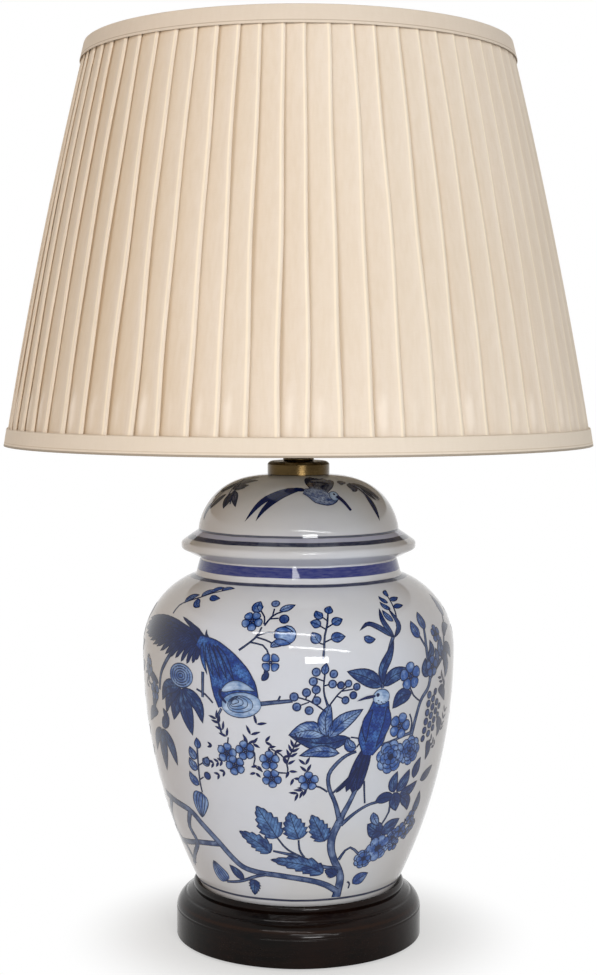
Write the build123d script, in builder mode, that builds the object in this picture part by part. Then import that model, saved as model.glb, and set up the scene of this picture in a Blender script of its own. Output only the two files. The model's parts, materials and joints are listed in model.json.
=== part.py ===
from build123d import *
import os
from math import cos, pi, radians, sin, sqrt

# Ginger jar table lamp with a pleated shade.  Millimetres, +Z up, -Y to the front.
# The origin is the centre of the lamp's underside, on the table.

# ---------------------------------------------------------------- driving sizes
# Wooden stand and its felt
felt_r = 82.0
felt_t = 1.5
stand_r = 86.1              # turned side of the stand
stand_h = 39.5              # to the top of the bead round the foot
stand_side_h = 25.4         # where side and cone would meet without their rounding
stand_shoulder_r = 12.0     # rounding between side and cone
stand_edge = 1.2            # eased lower edge
cone_top_r = 74.9
cone_top_h = 34.0
bead_r = 74.2               # outside of the bead
bead_lip = 3.0              # width of the bead's wood beside the foot
seat_depth = 2.5            # how far the jar's foot drops into the stand
nut_well_r = 26.0           # hollow turned in the underside for the nut
nut_well_depth = 14.0
cord_hole_r = 5.0           # hole from the well to the back
cord_hole_z = 9.0
bushing_bore_r = 3.3
bushing_flange_r = 7.5
bushing_flange_t = 1.6
bushing_length = 14.0

# Rod and the pieces that clamp the body on it
rod_r = 4.85
rod_bore_r = 3.2
rod_fit = 0.05              # radial clearance of what screws onto the rod
rod_free = 0.35             # radial clearance of what only slides over it
rod_tail = 3.0              # rod below the nut
rod_head = 9.0              # rod inside the socket's cap
nut_flats = 14.3
nut_t = 4.0
spring_washer_r = 8.4
spring_washer_t = 1.4
spring_washer_gap = 1.2
big_washer_r = 17.0
big_washer_t = 1.5

# Porcelain jar
jar_wall = 5.0
jar_foot_r = 69.4
jar_belly_r = 108.9
jar_belly_h = 167.0         # height of the widest ring above the foot
jar_neck_base_r = 71.8
jar_shoulder_h = 51.7       # from the widest ring up to the neck
jar_neck_h = 11.8
jar_mouth_r = 68.6
jar_neck_fillet = 3.0
foot_ring_w = 6.0
foot_recess = 5.0
jar_floor_t = 6.0
jar_hole_r = 7.4            # hole in the floor for the rod's plug
foot_fit = 0.5              # clearance between the foot and the stand's bead

# Rubber plug that centres the rod in the jar's floor
plug_flange_r = 14.0
plug_flange_t = 2.2
plug_fit = 0.15

# Porcelain lid
lid_h = 57.5                # mouth of the jar to the crown
lid_wall = 4.5
lid_flange_r = 81.8
lid_flange_low = 6.4        # lower corner of the flange's edge, above the mouth
lid_flange_high = 10.8      # upper corner
lid_flange_round = 1.9
lid_dome_r = 70.0
lid_dome_base = 18.9        # where the dome leaves the flange, above the mouth
lid_ring_t = 3.2            # locating ring inside the mouth
lid_ring_drop = 7.0
lid_ring_fit = 0.7
lid_hole_r = 6.0
lid_crown_power = 3.65      # the dome's outline is a rounded square of these powers
lid_side_power = 1.6

# Brass cap and neck on the lid
cap_r = 21.6
cap_h = 9.0
cap_side_h = 6.8
cap_top_r = 17.4
gasket_r = 19.4
gasket_recess = 1.5
neck_r = 10.0
neck_h = 18.5
neck_bead = 0.8
neck_bead_h = 2.6

# Harp: saddle, wire loop, locking sleeves and top stud
saddle_t = 1.6
saddle_eye_r = 10.5
saddle_arm_w = 8.0
saddle_span = 58.4          # between the centres of the harp's feet
saddle_rise = 20.0          # from the saddle's underside to the tops of its tabs
saddle_bend = 7.0
tab_w = 3.4
harp_h = 254.0              # saddle's underside to the shoulder that carries the shade
harp_wire_r = 1.8
harp_width = 108.0
harp_top_width = 92.0
harp_foot_rise = 13.0       # bottom of the wire above the saddle's underside
harp_straight = 28.0        # straight foot that the sleeves slide on
harp_flare = 26.0           # height over which the wire spreads
harp_top_bend = 27.0
harp_foot_bend = 14.0
tab_gap = 0.1
sleeve_r = 3.9
sleeve_wall = 1.0
sleeve_h = 15.0
sleeve_drop = 1.6           # sleeve below the wire's foot at rest
pad_w = 15.0                # flattened middle of the wire
pad_d = 9.0
pad_t = 2.4
stud_pin_r = 2.0
stud_fit = 0.08
stud_head_r = 3.8
stud_head_t = 1.6
shoulder_r = 6.5
shoulder_t = 2.6
stud_thread_r = 3.1
stud_thread_h = 13.0

# Socket
socket_cap_hub_r = 6.8
socket_cap_hub_h = 7.0
socket_cap_r = 17.9
socket_cap_h = 20.0
socket_metal = 0.7
shell_fit = 0.1
shell_h = 40.0
shell_lap = 6.0             # how far the shell sits inside the cap
shell_lip = 0.8
liner_t = 0.8
liner_short = 1.5           # the liner stops this far below the shell's lip
block_h = 15.0              # moulded block that carries the contacts
block_fit = 0.25
screw_shell_t = 0.5
screw_shell_h = 21.0
contact_w = 5.0
contact_t = 0.6
set_screw_r = 1.5
set_screw_h = 3.0
terminal_r = 2.2
terminal_t = 1.4

# Turn switch
switch_z_in_block = 9.0
switch_shaft_r = 1.9
switch_fit = 0.08
switch_shaft_in = 6.0       # depth of the shaft's bearing in the block
switch_slot_r = 4.4
knob_r = 6.2
knob_tip_r = 5.0
knob_h = 13.0
knob_gap = 3.0              # between the shell and the knob
knob_seat = 7.0             # how far the shaft reaches into the knob
knob_flutes = 12
knob_flute_r = 0.8

# Bulb
bulb_r = 30.0
bulb_h = 108.0              # contact to crown
bulb_glass_t = 0.9
bulb_cap_r = 13.1
bulb_cap_h = 22.0
bulb_neck_r = 13.8
bulb_screw_fit = 0.1
bulb_insulator_h = 3.2
bulb_insulator_r = 8.0
bulb_contact_r = 4.6
bulb_contact_h = 1.2

# Shade
shade_top_r = 146.6
shade_bottom_r = 203.0
shade_h = 272.0
shade_bow = 2.8             # how far the side swells past a straight cone
band_h = 12.0
band_t = 0.8
band_hem = 1.0
cloth_fit = 0.15
pleats = 66
pleat_depth = 2.4           # crest to valley at the lower rim; it narrows with the shade
pleat_crest_at = 0.80       # share of a pleat's width where its crest lies
pleat_drop_at = 0.93        # and where the fold has dropped back
pleat_jitter = 0.07
cover_t = 0.9
lining_t = 0.8
ring_wire_r = 1.7
spider_washer_r = 12.0
spider_washer_t = 1.6
spider_hole_r = 3.6
spider_drop = 9.9           # washer's top below the shade's top edge
spider_arms = 3
spider_arm_r = 1.6
spider_shelf = 24.0         # level part of an arm beside the washer

# Finial
finial_fit = 0.06
finial_base_r = 7.5
finial_base_h = 3.2
finial_neck_r = 4.7
finial_neck_h = 14.0
finial_ball_r = 8.2

# ------------------------------------------------------------------ the stack
stand_z = felt_t
jar_z = stand_h - seat_depth
belly_z = jar_z + jar_belly_h
neck_base_z = belly_z + jar_shoulder_h
mouth_z = neck_base_z + jar_neck_h
crown_z = mouth_z + lid_h
cap_top_z = crown_z + cap_h
saddle_z = cap_top_z + neck_h
socket_z = saddle_z + saddle_t
shoulder_z = saddle_z + harp_h
washer_top_z = shoulder_z + spider_washer_t
shade_top_z = washer_top_z + spider_drop
shade_bottom_z = shade_top_z - shade_h
well_top_z = stand_z + nut_well_depth
nut_top_z = well_top_z - big_washer_t - spring_washer_t
rod_bottom_z = nut_top_z - nut_t - rod_tail
rod_top_z = socket_z + rod_head

os.makedirs("parts", exist_ok=True)


def save(name, builder):
    """Label a finished piece and write it under its own name."""
    builder.part.label = name
    export_step(builder.part, f"parts/{name}.step")


def ring_piece(name, outer_r, inner_r, low_z, high_z):
    """A plain turned ring between two heights."""
    with BuildPart() as ring:
        with BuildSketch(Plane.XY.offset(low_z)):
            Circle(outer_r)
            Circle(inner_r, mode=Mode.SUBTRACT)
        extrude(amount=high_z - low_z)
    save(name, ring)


# ------------------------------------------------------------- stand and felt
def make_felt():
    ring_piece("felt_pad", felt_r, nut_well_r + 1, 0, felt_t)


def make_stand():
    """Turned wood: straight side, coned shoulder and a bead that holds the jar's foot."""
    seat_r = jar_foot_r + foot_fit
    groove_z = cone_top_h + 0.6
    bead_h = stand_h - groove_z
    with BuildPart() as stand:
        with BuildSketch(Plane.XZ):
            with BuildLine():
                side = Polyline(
                    (0, jar_z), (0, stand_z), (stand_r, stand_z), (stand_r, stand_side_h),
                    (cone_top_r, cone_top_h), (bead_r - 0.9, groove_z),
                )
                bead = ThreePointArc(
                    side @ 1,
                    (bead_r, groove_z + bead_h * 0.45),
                    (bead_r - bead_lip / 2, stand_h),
                )
                Polyline(bead @ 1, (seat_r + 0.9, stand_h - 0.5), (seat_r, jar_z), (0, jar_z))
            face = make_face()
            corners = face.vertices()
            shoulder = corners.sort_by_distance((stand_r, stand_side_h, 0))[0]
            lower_edge = corners.sort_by_distance((stand_r, stand_z, 0))[0]
            fillet(shoulder, stand_shoulder_r)
            fillet(lower_edge, stand_edge)
        revolve(axis=Axis.Z)
        with BuildSketch(Plane.XY.offset(stand_z)):
            Circle(nut_well_r)
        extrude(amount=nut_well_depth, mode=Mode.SUBTRACT)
        with BuildSketch(Plane.XY.offset(stand_z)):
            Circle(rod_r + rod_free)
        extrude(amount=stand_h, mode=Mode.SUBTRACT)
        with BuildSketch(Plane.XZ.offset(-stand_r - 1)) as hole:
            with Locations((0, cord_hole_z)):
                Circle(cord_hole_r)
        extrude(amount=stand_r - nut_well_r / 2, mode=Mode.SUBTRACT)
    save("wooden_stand", stand)


def make_cord_bushing():
    """Flanged bush in the stand's back, where the flex would leave."""
    with BuildPart() as bush:
        with BuildSketch(Plane.XZ.offset(-stand_r - bushing_flange_t)):
            with Locations((0, cord_hole_z)):
                Circle(bushing_flange_r)
        extrude(amount=bushing_flange_t)
        with BuildSketch(Plane.XZ.offset(-stand_r)):
            with Locations((0, cord_hole_z)):
                Circle(cord_hole_r - 0.1)
        extrude(amount=bushing_length)
        with BuildSketch(Plane.XZ.offset(-stand_r - bushing_flange_t)):
            with Locations((0, cord_hole_z)):
                Circle(bushing_bore_r)
        extrude(amount=bushing_length + bushing_flange_t, mode=Mode.SUBTRACT)
        rim = bush.edges().filter_by(GeomType.CIRCLE).sort_by(Axis.Y)[-2:]
        fillet(rim.sort_by(SortBy.LENGTH)[-1], bushing_flange_t * 0.6)
    save("cord_bushing", bush)


# --------------------------------------------------------- rod and fastenings
def make_fastenings():
    ring_piece("big_washer", big_washer_r, rod_r + rod_free, well_top_z - big_washer_t, well_top_z)
    with BuildPart() as spring_washer:
        with BuildSketch(Plane.XY.offset(nut_top_z)):
            Circle(spring_washer_r)
            Circle(rod_r + rod_free, mode=Mode.SUBTRACT)
            with Locations(((spring_washer_r + rod_r) / 2, 0)):
                Rectangle(spring_washer_r, spring_washer_gap, mode=Mode.SUBTRACT)
        extrude(amount=spring_washer_t)
    save("spring_washer", spring_washer)
    with BuildPart() as nut:
        with BuildSketch(Plane.XY.offset(nut_top_z - nut_t)):
            RegularPolygon(nut_flats / 2, 6, major_radius=False)
            Circle(rod_r + rod_fit, mode=Mode.SUBTRACT)
        extrude(amount=nut_t)
        with BuildSketch(Plane.XZ):
            with BuildLine():
                Polyline(
                    (0, nut_top_z - nut_t), (nut_flats * 0.5, nut_top_z - nut_t),
                    (nut_flats * 0.6, nut_top_z - nut_t * 0.86),
                    (nut_flats * 0.6, nut_top_z), (0, nut_top_z), close=True,
                )
            make_face()
        revolve(axis=Axis.Z, mode=Mode.INTERSECT)
    save("base_nut", nut)
    ring_piece("threaded_rod", rod_r, rod_bore_r, rod_bottom_z, rod_top_z)


def make_floor_plug():
    """Rubber plug: its hub fills the hole in the jar's floor, its flange lies under it."""
    floor_z = jar_z + foot_recess
    with BuildPart() as plug:
        with BuildSketch(Plane.XY.offset(floor_z - plug_flange_t)):
            Circle(plug_flange_r)
        extrude(amount=plug_flange_t)
        with BuildSketch(Plane.XY.offset(floor_z)):
            Circle(jar_hole_r - plug_fit)
        extrude(amount=jar_floor_t)
        with BuildSketch(Plane.XY.offset(floor_z - plug_flange_t)):
            Circle(rod_r + rod_fit)
        extrude(amount=plug_flange_t + jar_floor_t, mode=Mode.SUBTRACT)
    save("floor_plug", plug)


# ---------------------------------------------------------------- jar and lid
def flank_r(z, wall=0.0):
    """Radius of the jar below its belly: one large arc, upright at the widest ring."""
    across = jar_belly_r - jar_foot_r
    arc = (across ** 2 + jar_belly_h ** 2) / (2 * across) - wall
    return jar_belly_r - wall - arc + sqrt(arc ** 2 - (belly_z - z) ** 2)


def make_jar():
    """Thrown porcelain: foot ring, two arcs that meet at the belly, and a short neck."""
    floor_z = jar_z + foot_recess + jar_floor_t
    upright = (0, 1)
    with BuildPart() as jar:
        with BuildSketch(Plane.XZ) as outline:
            with BuildLine():
                belly = (jar_belly_r, belly_z)
                flank = TangentArc(belly, (jar_foot_r, jar_z), tangent=(0, -1))
                shoulder = TangentArc(belly, (jar_neck_base_r, neck_base_z), tangent=upright)
                Line(shoulder @ 1, (jar_mouth_r, mouth_z))
                inner_mouth = (jar_mouth_r - jar_wall, mouth_z)
                Line((jar_mouth_r, mouth_z), inner_mouth)
                inner_neck = (jar_neck_base_r - jar_wall, neck_base_z - jar_wall / 3)
                Line(inner_mouth, inner_neck)
                inner_belly = (jar_belly_r - jar_wall, belly_z)
                TangentArc(inner_belly, inner_neck, tangent=upright)
                inner_floor = (flank_r(floor_z, jar_wall), floor_z)
                TangentArc(inner_belly, inner_floor, tangent=(0, -1))
                Polyline(
                    inner_floor, (jar_hole_r, floor_z), (jar_hole_r, jar_z + foot_recess),
                    (jar_foot_r - foot_ring_w, jar_z + foot_recess),
                    (jar_foot_r - foot_ring_w, jar_z), (jar_foot_r, jar_z),
                )
            make_face()
            corners = outline.vertices()
            neck_corner = corners.sort_by_distance((jar_neck_base_r, neck_base_z, 0))[0]
            fillet(neck_corner, jar_neck_fillet)
        revolve(axis=Axis.Z)
    save("jar_body", jar)


def dome_points(radius, height, base_z, end_r, steps=9):
    """Outline of the dome, from its side at base_z to end_r beside the axis.

    With s the share of the radius and t the share of the height,
    s ** crown_power + t ** side_power = 1.
    """
    last = (end_r / radius) ** (lid_crown_power / 2)
    points = []
    for step in range(steps + 1):
        across = 1 - (1 - last) * step / steps
        share = across ** (2 / lid_crown_power)
        rise = (1 - across ** 2) ** (1 / lid_side_power)
        points.append((radius * share, base_z + height * rise))
    return points


def make_lid():
    """Porcelain lid: locating ring, sloped flange and a domed top with the rod's hole."""
    dome_z = mouth_z + lid_dome_base
    dome_h = lid_h - lid_dome_base
    ring_r = jar_mouth_r - jar_wall - lid_ring_fit
    ring_low = mouth_z - lid_ring_drop
    ring_in = ring_r - lid_ring_t
    with BuildPart() as lid:
        with BuildSketch(Plane.XZ) as outline:
            with BuildLine():
                outer = Spline(dome_points(lid_dome_r, dome_h, dome_z, lid_hole_r))
                inner = Spline(
                    dome_points(lid_dome_r - lid_wall, dome_h - lid_wall, dome_z, lid_hole_r)
                )
                Line(outer @ 1, inner @ 1)
                Polyline(
                    inner @ 0, (ring_in, mouth_z + lid_wall), (ring_in, ring_low),
                    (ring_r, ring_low), (ring_r, mouth_z), (jar_mouth_r + 0.6, mouth_z),
                    (lid_flange_r, mouth_z + lid_flange_low),
                    (lid_flange_r, mouth_z + lid_flange_high), outer @ 0,
                )
            make_face()
            corners = outline.vertices()
            edge_low = corners.sort_by_distance((lid_flange_r, mouth_z + lid_flange_low, 0))[0]
            edge_high = corners.sort_by_distance((lid_flange_r, mouth_z + lid_flange_high, 0))[0]
            fillet([edge_low, edge_high], lid_flange_round)
        revolve(axis=Axis.Z)
    save("jar_lid", lid)


# ------------------------------------------------------------- cap and neck
def make_cap_and_neck():
    ring_piece("cap_gasket", gasket_r, rod_r + rod_free, crown_z, crown_z + gasket_recess)
    with BuildPart() as cap:
        with BuildSketch(Plane.XZ):
            with BuildLine():
                rim = Polyline(
                    (rod_r + rod_free, crown_z + gasket_recess),
                    (gasket_r + 0.2, crown_z + gasket_recess),
                    (gasket_r + 0.2, crown_z), (cap_r, crown_z), (cap_r, crown_z + cap_side_h),
                )
                brow = ThreePointArc(
                    rim @ 1,
                    (cap_r - (cap_r - cap_top_r) * 0.32, crown_z + cap_side_h + (cap_h - cap_side_h) * 0.72),
                    (cap_top_r, cap_top_z),
                )
                Polyline(brow @ 1, (rod_r + rod_free, cap_top_z), rim @ 0)
            make_face()
        revolve(axis=Axis.Z)
    save("vase_cap", cap)
    with BuildPart() as neck:
        with BuildSketch(Plane.XZ):
            with BuildLine():
                low = ThreePointArc(
                    (neck_r, cap_top_z), (neck_r + neck_bead, cap_top_z + neck_bead_h / 2),
                    (neck_r, cap_top_z + neck_bead_h),
                )
                high = ThreePointArc(
                    (neck_r, saddle_z - neck_bead_h), (neck_r + neck_bead, saddle_z - neck_bead_h / 2),
                    (neck_r, saddle_z),
                )
                Line(low @ 1, high @ 0)
                Polyline(
                    high @ 1, (rod_r + rod_free, saddle_z), (rod_r + rod_free, cap_top_z), low @ 0,
                )
            make_face()
        revolve(axis=Axis.Z)
    save("lamp_neck", neck)


# ----------------------------------------------------------------------- harp
foot_x = saddle_span / 2
foot_z = saddle_z + harp_foot_rise
sleeve_z = foot_z - sleeve_drop


def make_saddle():
    """Strip bent into a U: an eye on the rod, two arms and a tab at each end."""
    tab_in = foot_x - tab_gap - saddle_t
    top_z = saddle_z + saddle_rise
    with BuildPart() as saddle:
        with BuildSketch(Plane.XZ) as bent:
            with BuildLine():
                Polyline(
                    (-foot_x + tab_gap, top_z), (-foot_x + tab_gap, saddle_z),
                    (foot_x - tab_gap, saddle_z), (foot_x - tab_gap, top_z),
                    (tab_in, top_z), (tab_in, saddle_z + saddle_t),
                    (-tab_in, saddle_z + saddle_t), (-tab_in, top_z), close=True,
                )
            make_face()
            low = bent.vertices().group_by(Axis.Y)
            fillet(low[0], saddle_bend + saddle_t)
            inner = bent.vertices().filter_by(
                lambda v: abs(v.Y - saddle_z - saddle_t) < 0.01 and abs(v.X) > tab_in - 0.01
            )
            fillet(inner, saddle_bend)
        extrude(amount=saddle_eye_r, both=True)
        with BuildSketch(Plane.XY.offset(saddle_z - 1)):
            Circle(saddle_eye_r)
            Rectangle(saddle_span + 2, saddle_arm_w)
            Circle(rod_r + rod_free, mode=Mode.SUBTRACT)
        extrude(amount=saddle_rise + 2, mode=Mode.INTERSECT)
        with BuildSketch(Plane.YZ.offset(-foot_x - 1)):
            with BuildLine():
                shoulder_low = sleeve_z - 4.0
                shoulder_high = sleeve_z - 0.6
                Polyline(
                    (-saddle_eye_r - 1, saddle_z - 1), (saddle_eye_r + 1, saddle_z - 1),
                    (saddle_eye_r + 1, saddle_z + saddle_t + 1), (saddle_arm_w / 2, saddle_z + saddle_t + 1),
                    (saddle_arm_w / 2, shoulder_low), (tab_w / 2, shoulder_high), (tab_w / 2, top_z + 1),
                    (-tab_w / 2, top_z + 1), (-tab_w / 2, shoulder_high), (-saddle_arm_w / 2, shoulder_low),
                    (-saddle_arm_w / 2, saddle_z + saddle_t + 1), (-saddle_eye_r - 1, saddle_z + saddle_t + 1),
                    close=True,
                )
            make_face()
        extrude(amount=saddle_span + 2, mode=Mode.INTERSECT)
    save("harp_saddle", saddle)


def make_harp():
    """One bent wire with a flattened pad on top; its feet are filed half round."""
    bar_z = shoulder_z - shoulder_t - pad_t / 2 - stud_fit
    spread_z = foot_z + harp_straight
    half = harp_width / 2
    top_half = harp_top_width / 2
    with BuildPart() as harp:
        with BuildLine(Plane.XZ) as loop:
            FilletPolyline(
                (-foot_x, foot_z), (-foot_x, spread_z), (-half, spread_z + harp_flare),
                (-top_half, bar_z), (top_half, bar_z),
                (half, spread_z + harp_flare), (foot_x, spread_z), (foot_x, foot_z),
                radius=[
                    harp_foot_bend, harp_foot_bend, harp_top_bend,
                    harp_top_bend, harp_foot_bend, harp_foot_bend,
                ],
            )
        with BuildSketch(Plane(origin=(-foot_x, 0, foot_z), z_dir=(0, 0, 1))):
            Circle(harp_wire_r)
        sweep(path=loop.wires()[0])
        with BuildSketch(Plane.XY.offset(bar_z - pad_t / 2)):
            RectangleRounded(pad_w, pad_d, pad_d / 2.2)
        extrude(amount=pad_t)
        with BuildSketch(Plane.XY.offset(bar_z - pad_t)):
            Circle(stud_pin_r + stud_fit)
        extrude(amount=2 * pad_t, mode=Mode.SUBTRACT)
        above = bar_z + pad_t / 2
        below = bar_z - pad_t / 2
        with BuildSketch(Plane.XY.offset(above)):
            Circle(shoulder_r + 1)
        extrude(amount=harp_wire_r, mode=Mode.SUBTRACT)
        with BuildSketch(Plane.XY.offset(below - harp_wire_r)):
            Circle(stud_head_r + 0.6)
        extrude(amount=harp_wire_r, mode=Mode.SUBTRACT)
        filed_h = saddle_rise - harp_foot_rise + 1.0
        for side in (-1, 1):
            with BuildSketch(Plane.XY.offset(foot_z - 1)):
                with Locations((side * (foot_x - harp_wire_r), 0)):
                    Rectangle(2 * harp_wire_r, 4 * harp_wire_r)
            extrude(amount=filed_h + 1, mode=Mode.SUBTRACT)
    save("harp_wire", harp)


def make_sleeves():
    for name, side in (("harp_sleeve_left", -1), ("harp_sleeve_right", 1)):
        with BuildPart() as sleeve:
            with BuildSketch(Plane.XY.offset(sleeve_z)):
                with Locations((side * foot_x, 0)):
                    Circle(sleeve_r)
                    Circle(sleeve_r - sleeve_wall, mode=Mode.SUBTRACT)
            extrude(amount=sleeve_h)
            outer_rims = sleeve.edges().filter_by(GeomType.CIRCLE)
            outer_rims = outer_rims.filter_by(lambda e: e.radius > sleeve_r - sleeve_wall / 2)
            chamfer(outer_rims, sleeve_wall * 0.45)
        save(name, sleeve)


def make_stud():
    """Swivelling stud: rivet head, pin through the pad, shoulder and thread."""
    shoulder_low = shoulder_z - shoulder_t
    pad_low = shoulder_low - 2 * stud_fit - pad_t
    with BuildPart() as stud:
        with BuildSketch(Plane.XZ):
            with BuildLine():
                thread_top = shoulder_z + stud_thread_h
                Polyline(
                    (0, pad_low - stud_head_t), (stud_head_r - 0.6, pad_low - stud_head_t),
                    (stud_head_r, pad_low - 0.6), (stud_head_r, pad_low),
                    (stud_pin_r, pad_low), (stud_pin_r, shoulder_low), (shoulder_r, shoulder_low),
                    (shoulder_r, shoulder_z), (stud_thread_r, shoulder_z),
                    (stud_thread_r, thread_top - 0.7), (stud_thread_r - 0.7, thread_top),
                    (0, thread_top), close=True,
                )
            make_face()
        revolve(axis=Axis.Z)
    save("harp_stud", stud)


# --------------------------------------------------------------------- socket
shell_r = socket_cap_r - socket_metal - shell_fit
shell_z = socket_z + socket_cap_h - shell_lap
shell_top_z = shell_z + shell_h
liner_r = shell_r - socket_metal - shell_fit
block_r = liner_r - liner_t - block_fit
block_z = shell_z + 1.0
block_top_z = block_z + block_h
switch_z = block_z + switch_z_in_block
contact_z = block_top_z + contact_t + 0.1


def make_socket_cap():
    """Spun cap: threaded hub and a bell that the shell snaps into."""
    bell_z = socket_z + socket_cap_hub_h
    top_z = socket_z + socket_cap_h
    inner_r = socket_cap_r - socket_metal
    waist = (socket_cap_r - (socket_cap_r - socket_cap_hub_r) * 0.28, bell_z + 2.2)
    with BuildPart() as cap:
        with BuildSketch(Plane.XZ):
            with BuildLine():
                hub = Polyline(
                    (rod_r + rod_fit, bell_z), (rod_r + rod_fit, socket_z),
                    (socket_cap_hub_r, socket_z), (socket_cap_hub_r, bell_z - 2),
                )
                bell = ThreePointArc(hub @ 1, waist, (socket_cap_r, top_z - shell_lap))
                rim = Polyline(
                    bell @ 1, (socket_cap_r, top_z), (inner_r, top_z), (inner_r, top_z - shell_lap),
                )
                ThreePointArc(
                    rim @ 1, (waist[0] - socket_metal, waist[1] + socket_metal), hub @ 0,
                )
            make_face()
        revolve(axis=Axis.Z)
        with BuildSketch(Plane.YZ.offset(rod_r)):
            with Locations((0, socket_z + set_screw_h)):
                Circle(set_screw_r + rod_fit)
        extrude(amount=socket_cap_hub_r, mode=Mode.SUBTRACT)
    save("socket_cap", cap)
    with BuildPart() as set_screw:
        with BuildSketch(Plane.YZ.offset(rod_r + rod_fit)):
            with Locations((0, socket_z + set_screw_h)):
                Circle(set_screw_r)
        extrude(amount=socket_cap_hub_r - rod_r + 1.2)
        head = set_screw.faces().sort_by(Axis.X)[-1]
        with BuildSketch(Plane(head)):
            Rectangle(set_screw_r * 2.4, 0.5)
        extrude(amount=-0.6, mode=Mode.SUBTRACT)
    save("socket_set_screw", set_screw)


def make_socket_shell():
    """Thin brass shell with a rolled lip and a slot for the switch."""
    with BuildPart() as shell:
        with BuildSketch(Plane.XZ):
            with BuildLine():
                inner = shell_r - socket_metal
                wall = Polyline(
                    (inner, shell_top_z), (inner, shell_z), (shell_r, shell_z),
                    (shell_r, shell_top_z - 2 * shell_lip),
                )
                lip = ThreePointArc(
                    wall @ 1, (shell_r + shell_lip, shell_top_z - shell_lip), (shell_r, shell_top_z),
                )
                Line(lip @ 1, wall @ 0)
            make_face()
        revolve(axis=Axis.Z)
        with BuildSketch(Plane.XZ):
            with Locations((0, switch_z)):
                Circle(switch_slot_r)
        extrude(amount=2 * shell_r, mode=Mode.SUBTRACT)
    save("socket_shell", shell)
    with BuildPart() as liner:
        with BuildSketch(Plane.XY.offset(shell_z)):
            Circle(liner_r)
            Circle(liner_r - liner_t, mode=Mode.SUBTRACT)
        extrude(amount=shell_h - liner_short)
        with BuildSketch(Plane.XZ):
            with Locations((0, switch_z)):
                Circle(switch_slot_r)
        extrude(amount=2 * shell_r, mode=Mode.SUBTRACT)
    save("socket_liner", liner)


def make_socket_block():
    """Moulded block with its contacts, screw shell and terminal screws."""
    screw_in = bulb_cap_r + bulb_screw_fit
    with BuildPart() as block:
        with BuildSketch(Plane.XY.offset(block_z)):
            Circle(block_r)
        extrude(amount=block_h)
        chamfer(block.edges().group_by(Axis.Z)[0], 1.5)
        with BuildSketch(Plane.XZ.offset(block_r - switch_shaft_in)):
            with Locations((0, switch_z)):
                Circle(switch_shaft_r + switch_fit)
        extrude(amount=2 * switch_shaft_in, mode=Mode.SUBTRACT)
    save("socket_block", block)
    with BuildPart() as screw_shell:
        with BuildSketch(Plane.XY.offset(block_top_z)):
            Circle(screw_in + screw_shell_t)
            Circle(screw_in, mode=Mode.SUBTRACT)
        extrude(amount=screw_shell_h)
    save("screw_shell", screw_shell)
    with BuildPart() as tongue:
        with BuildSketch(Plane.XY.offset(block_top_z)):
            SlotOverall(2.6 * contact_w, contact_w)
        extrude(amount=contact_t)
    save("centre_contact", tongue)
    with BuildPart() as terminals:
        with BuildSketch(Plane.XY.offset(block_z - terminal_t)):
            with Locations((block_r * 0.62, 0), (-block_r * 0.62, 0)):
                Circle(terminal_r)
        extrude(amount=terminal_t)
        with BuildSketch(Plane.XY.offset(block_z - terminal_t)):
            with Locations((block_r * 0.62, 0), (-block_r * 0.62, 0)):
                Rectangle(3 * terminal_r, 0.6)
        extrude(amount=0.5, mode=Mode.SUBTRACT)
    save("terminal_screws", terminals)


def make_switch():
    """Turn switch: a shaft out of the block to the front and a fluted knob."""
    knob_y = shell_r + knob_gap
    with BuildPart() as shaft:
        with BuildSketch(Plane.XZ.offset(block_r - switch_shaft_in + 0.2)):
            with Locations((0, switch_z)):
                Circle(switch_shaft_r)
        extrude(amount=knob_y + knob_seat - block_r + switch_shaft_in - 0.2)
    save("switch_shaft", shaft)
    with BuildPart() as knob:
        with BuildSketch(Plane.XZ.offset(knob_y)):
            with Locations((0, switch_z)):
                Circle(knob_r)
        with BuildSketch(Plane.XZ.offset(knob_y + knob_h)):
            with Locations((0, switch_z)):
                Circle(knob_tip_r)
        loft()
        fillet(knob.edges().group_by(Axis.Y)[0], 1.2)
        with BuildSketch(Plane.XZ.offset(knob_y + 2)):
            with Locations((0, switch_z)):
                with PolarLocations(knob_r, knob_flutes):
                    Circle(knob_flute_r)
        extrude(amount=knob_h, mode=Mode.SUBTRACT)
        with BuildSketch(Plane.XZ.offset(knob_y)):
            with Locations((0, switch_z)):
                Circle(switch_shaft_r + 0.02)
        extrude(amount=knob_seat, mode=Mode.SUBTRACT)
    save("switch_knob", knob)


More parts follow.
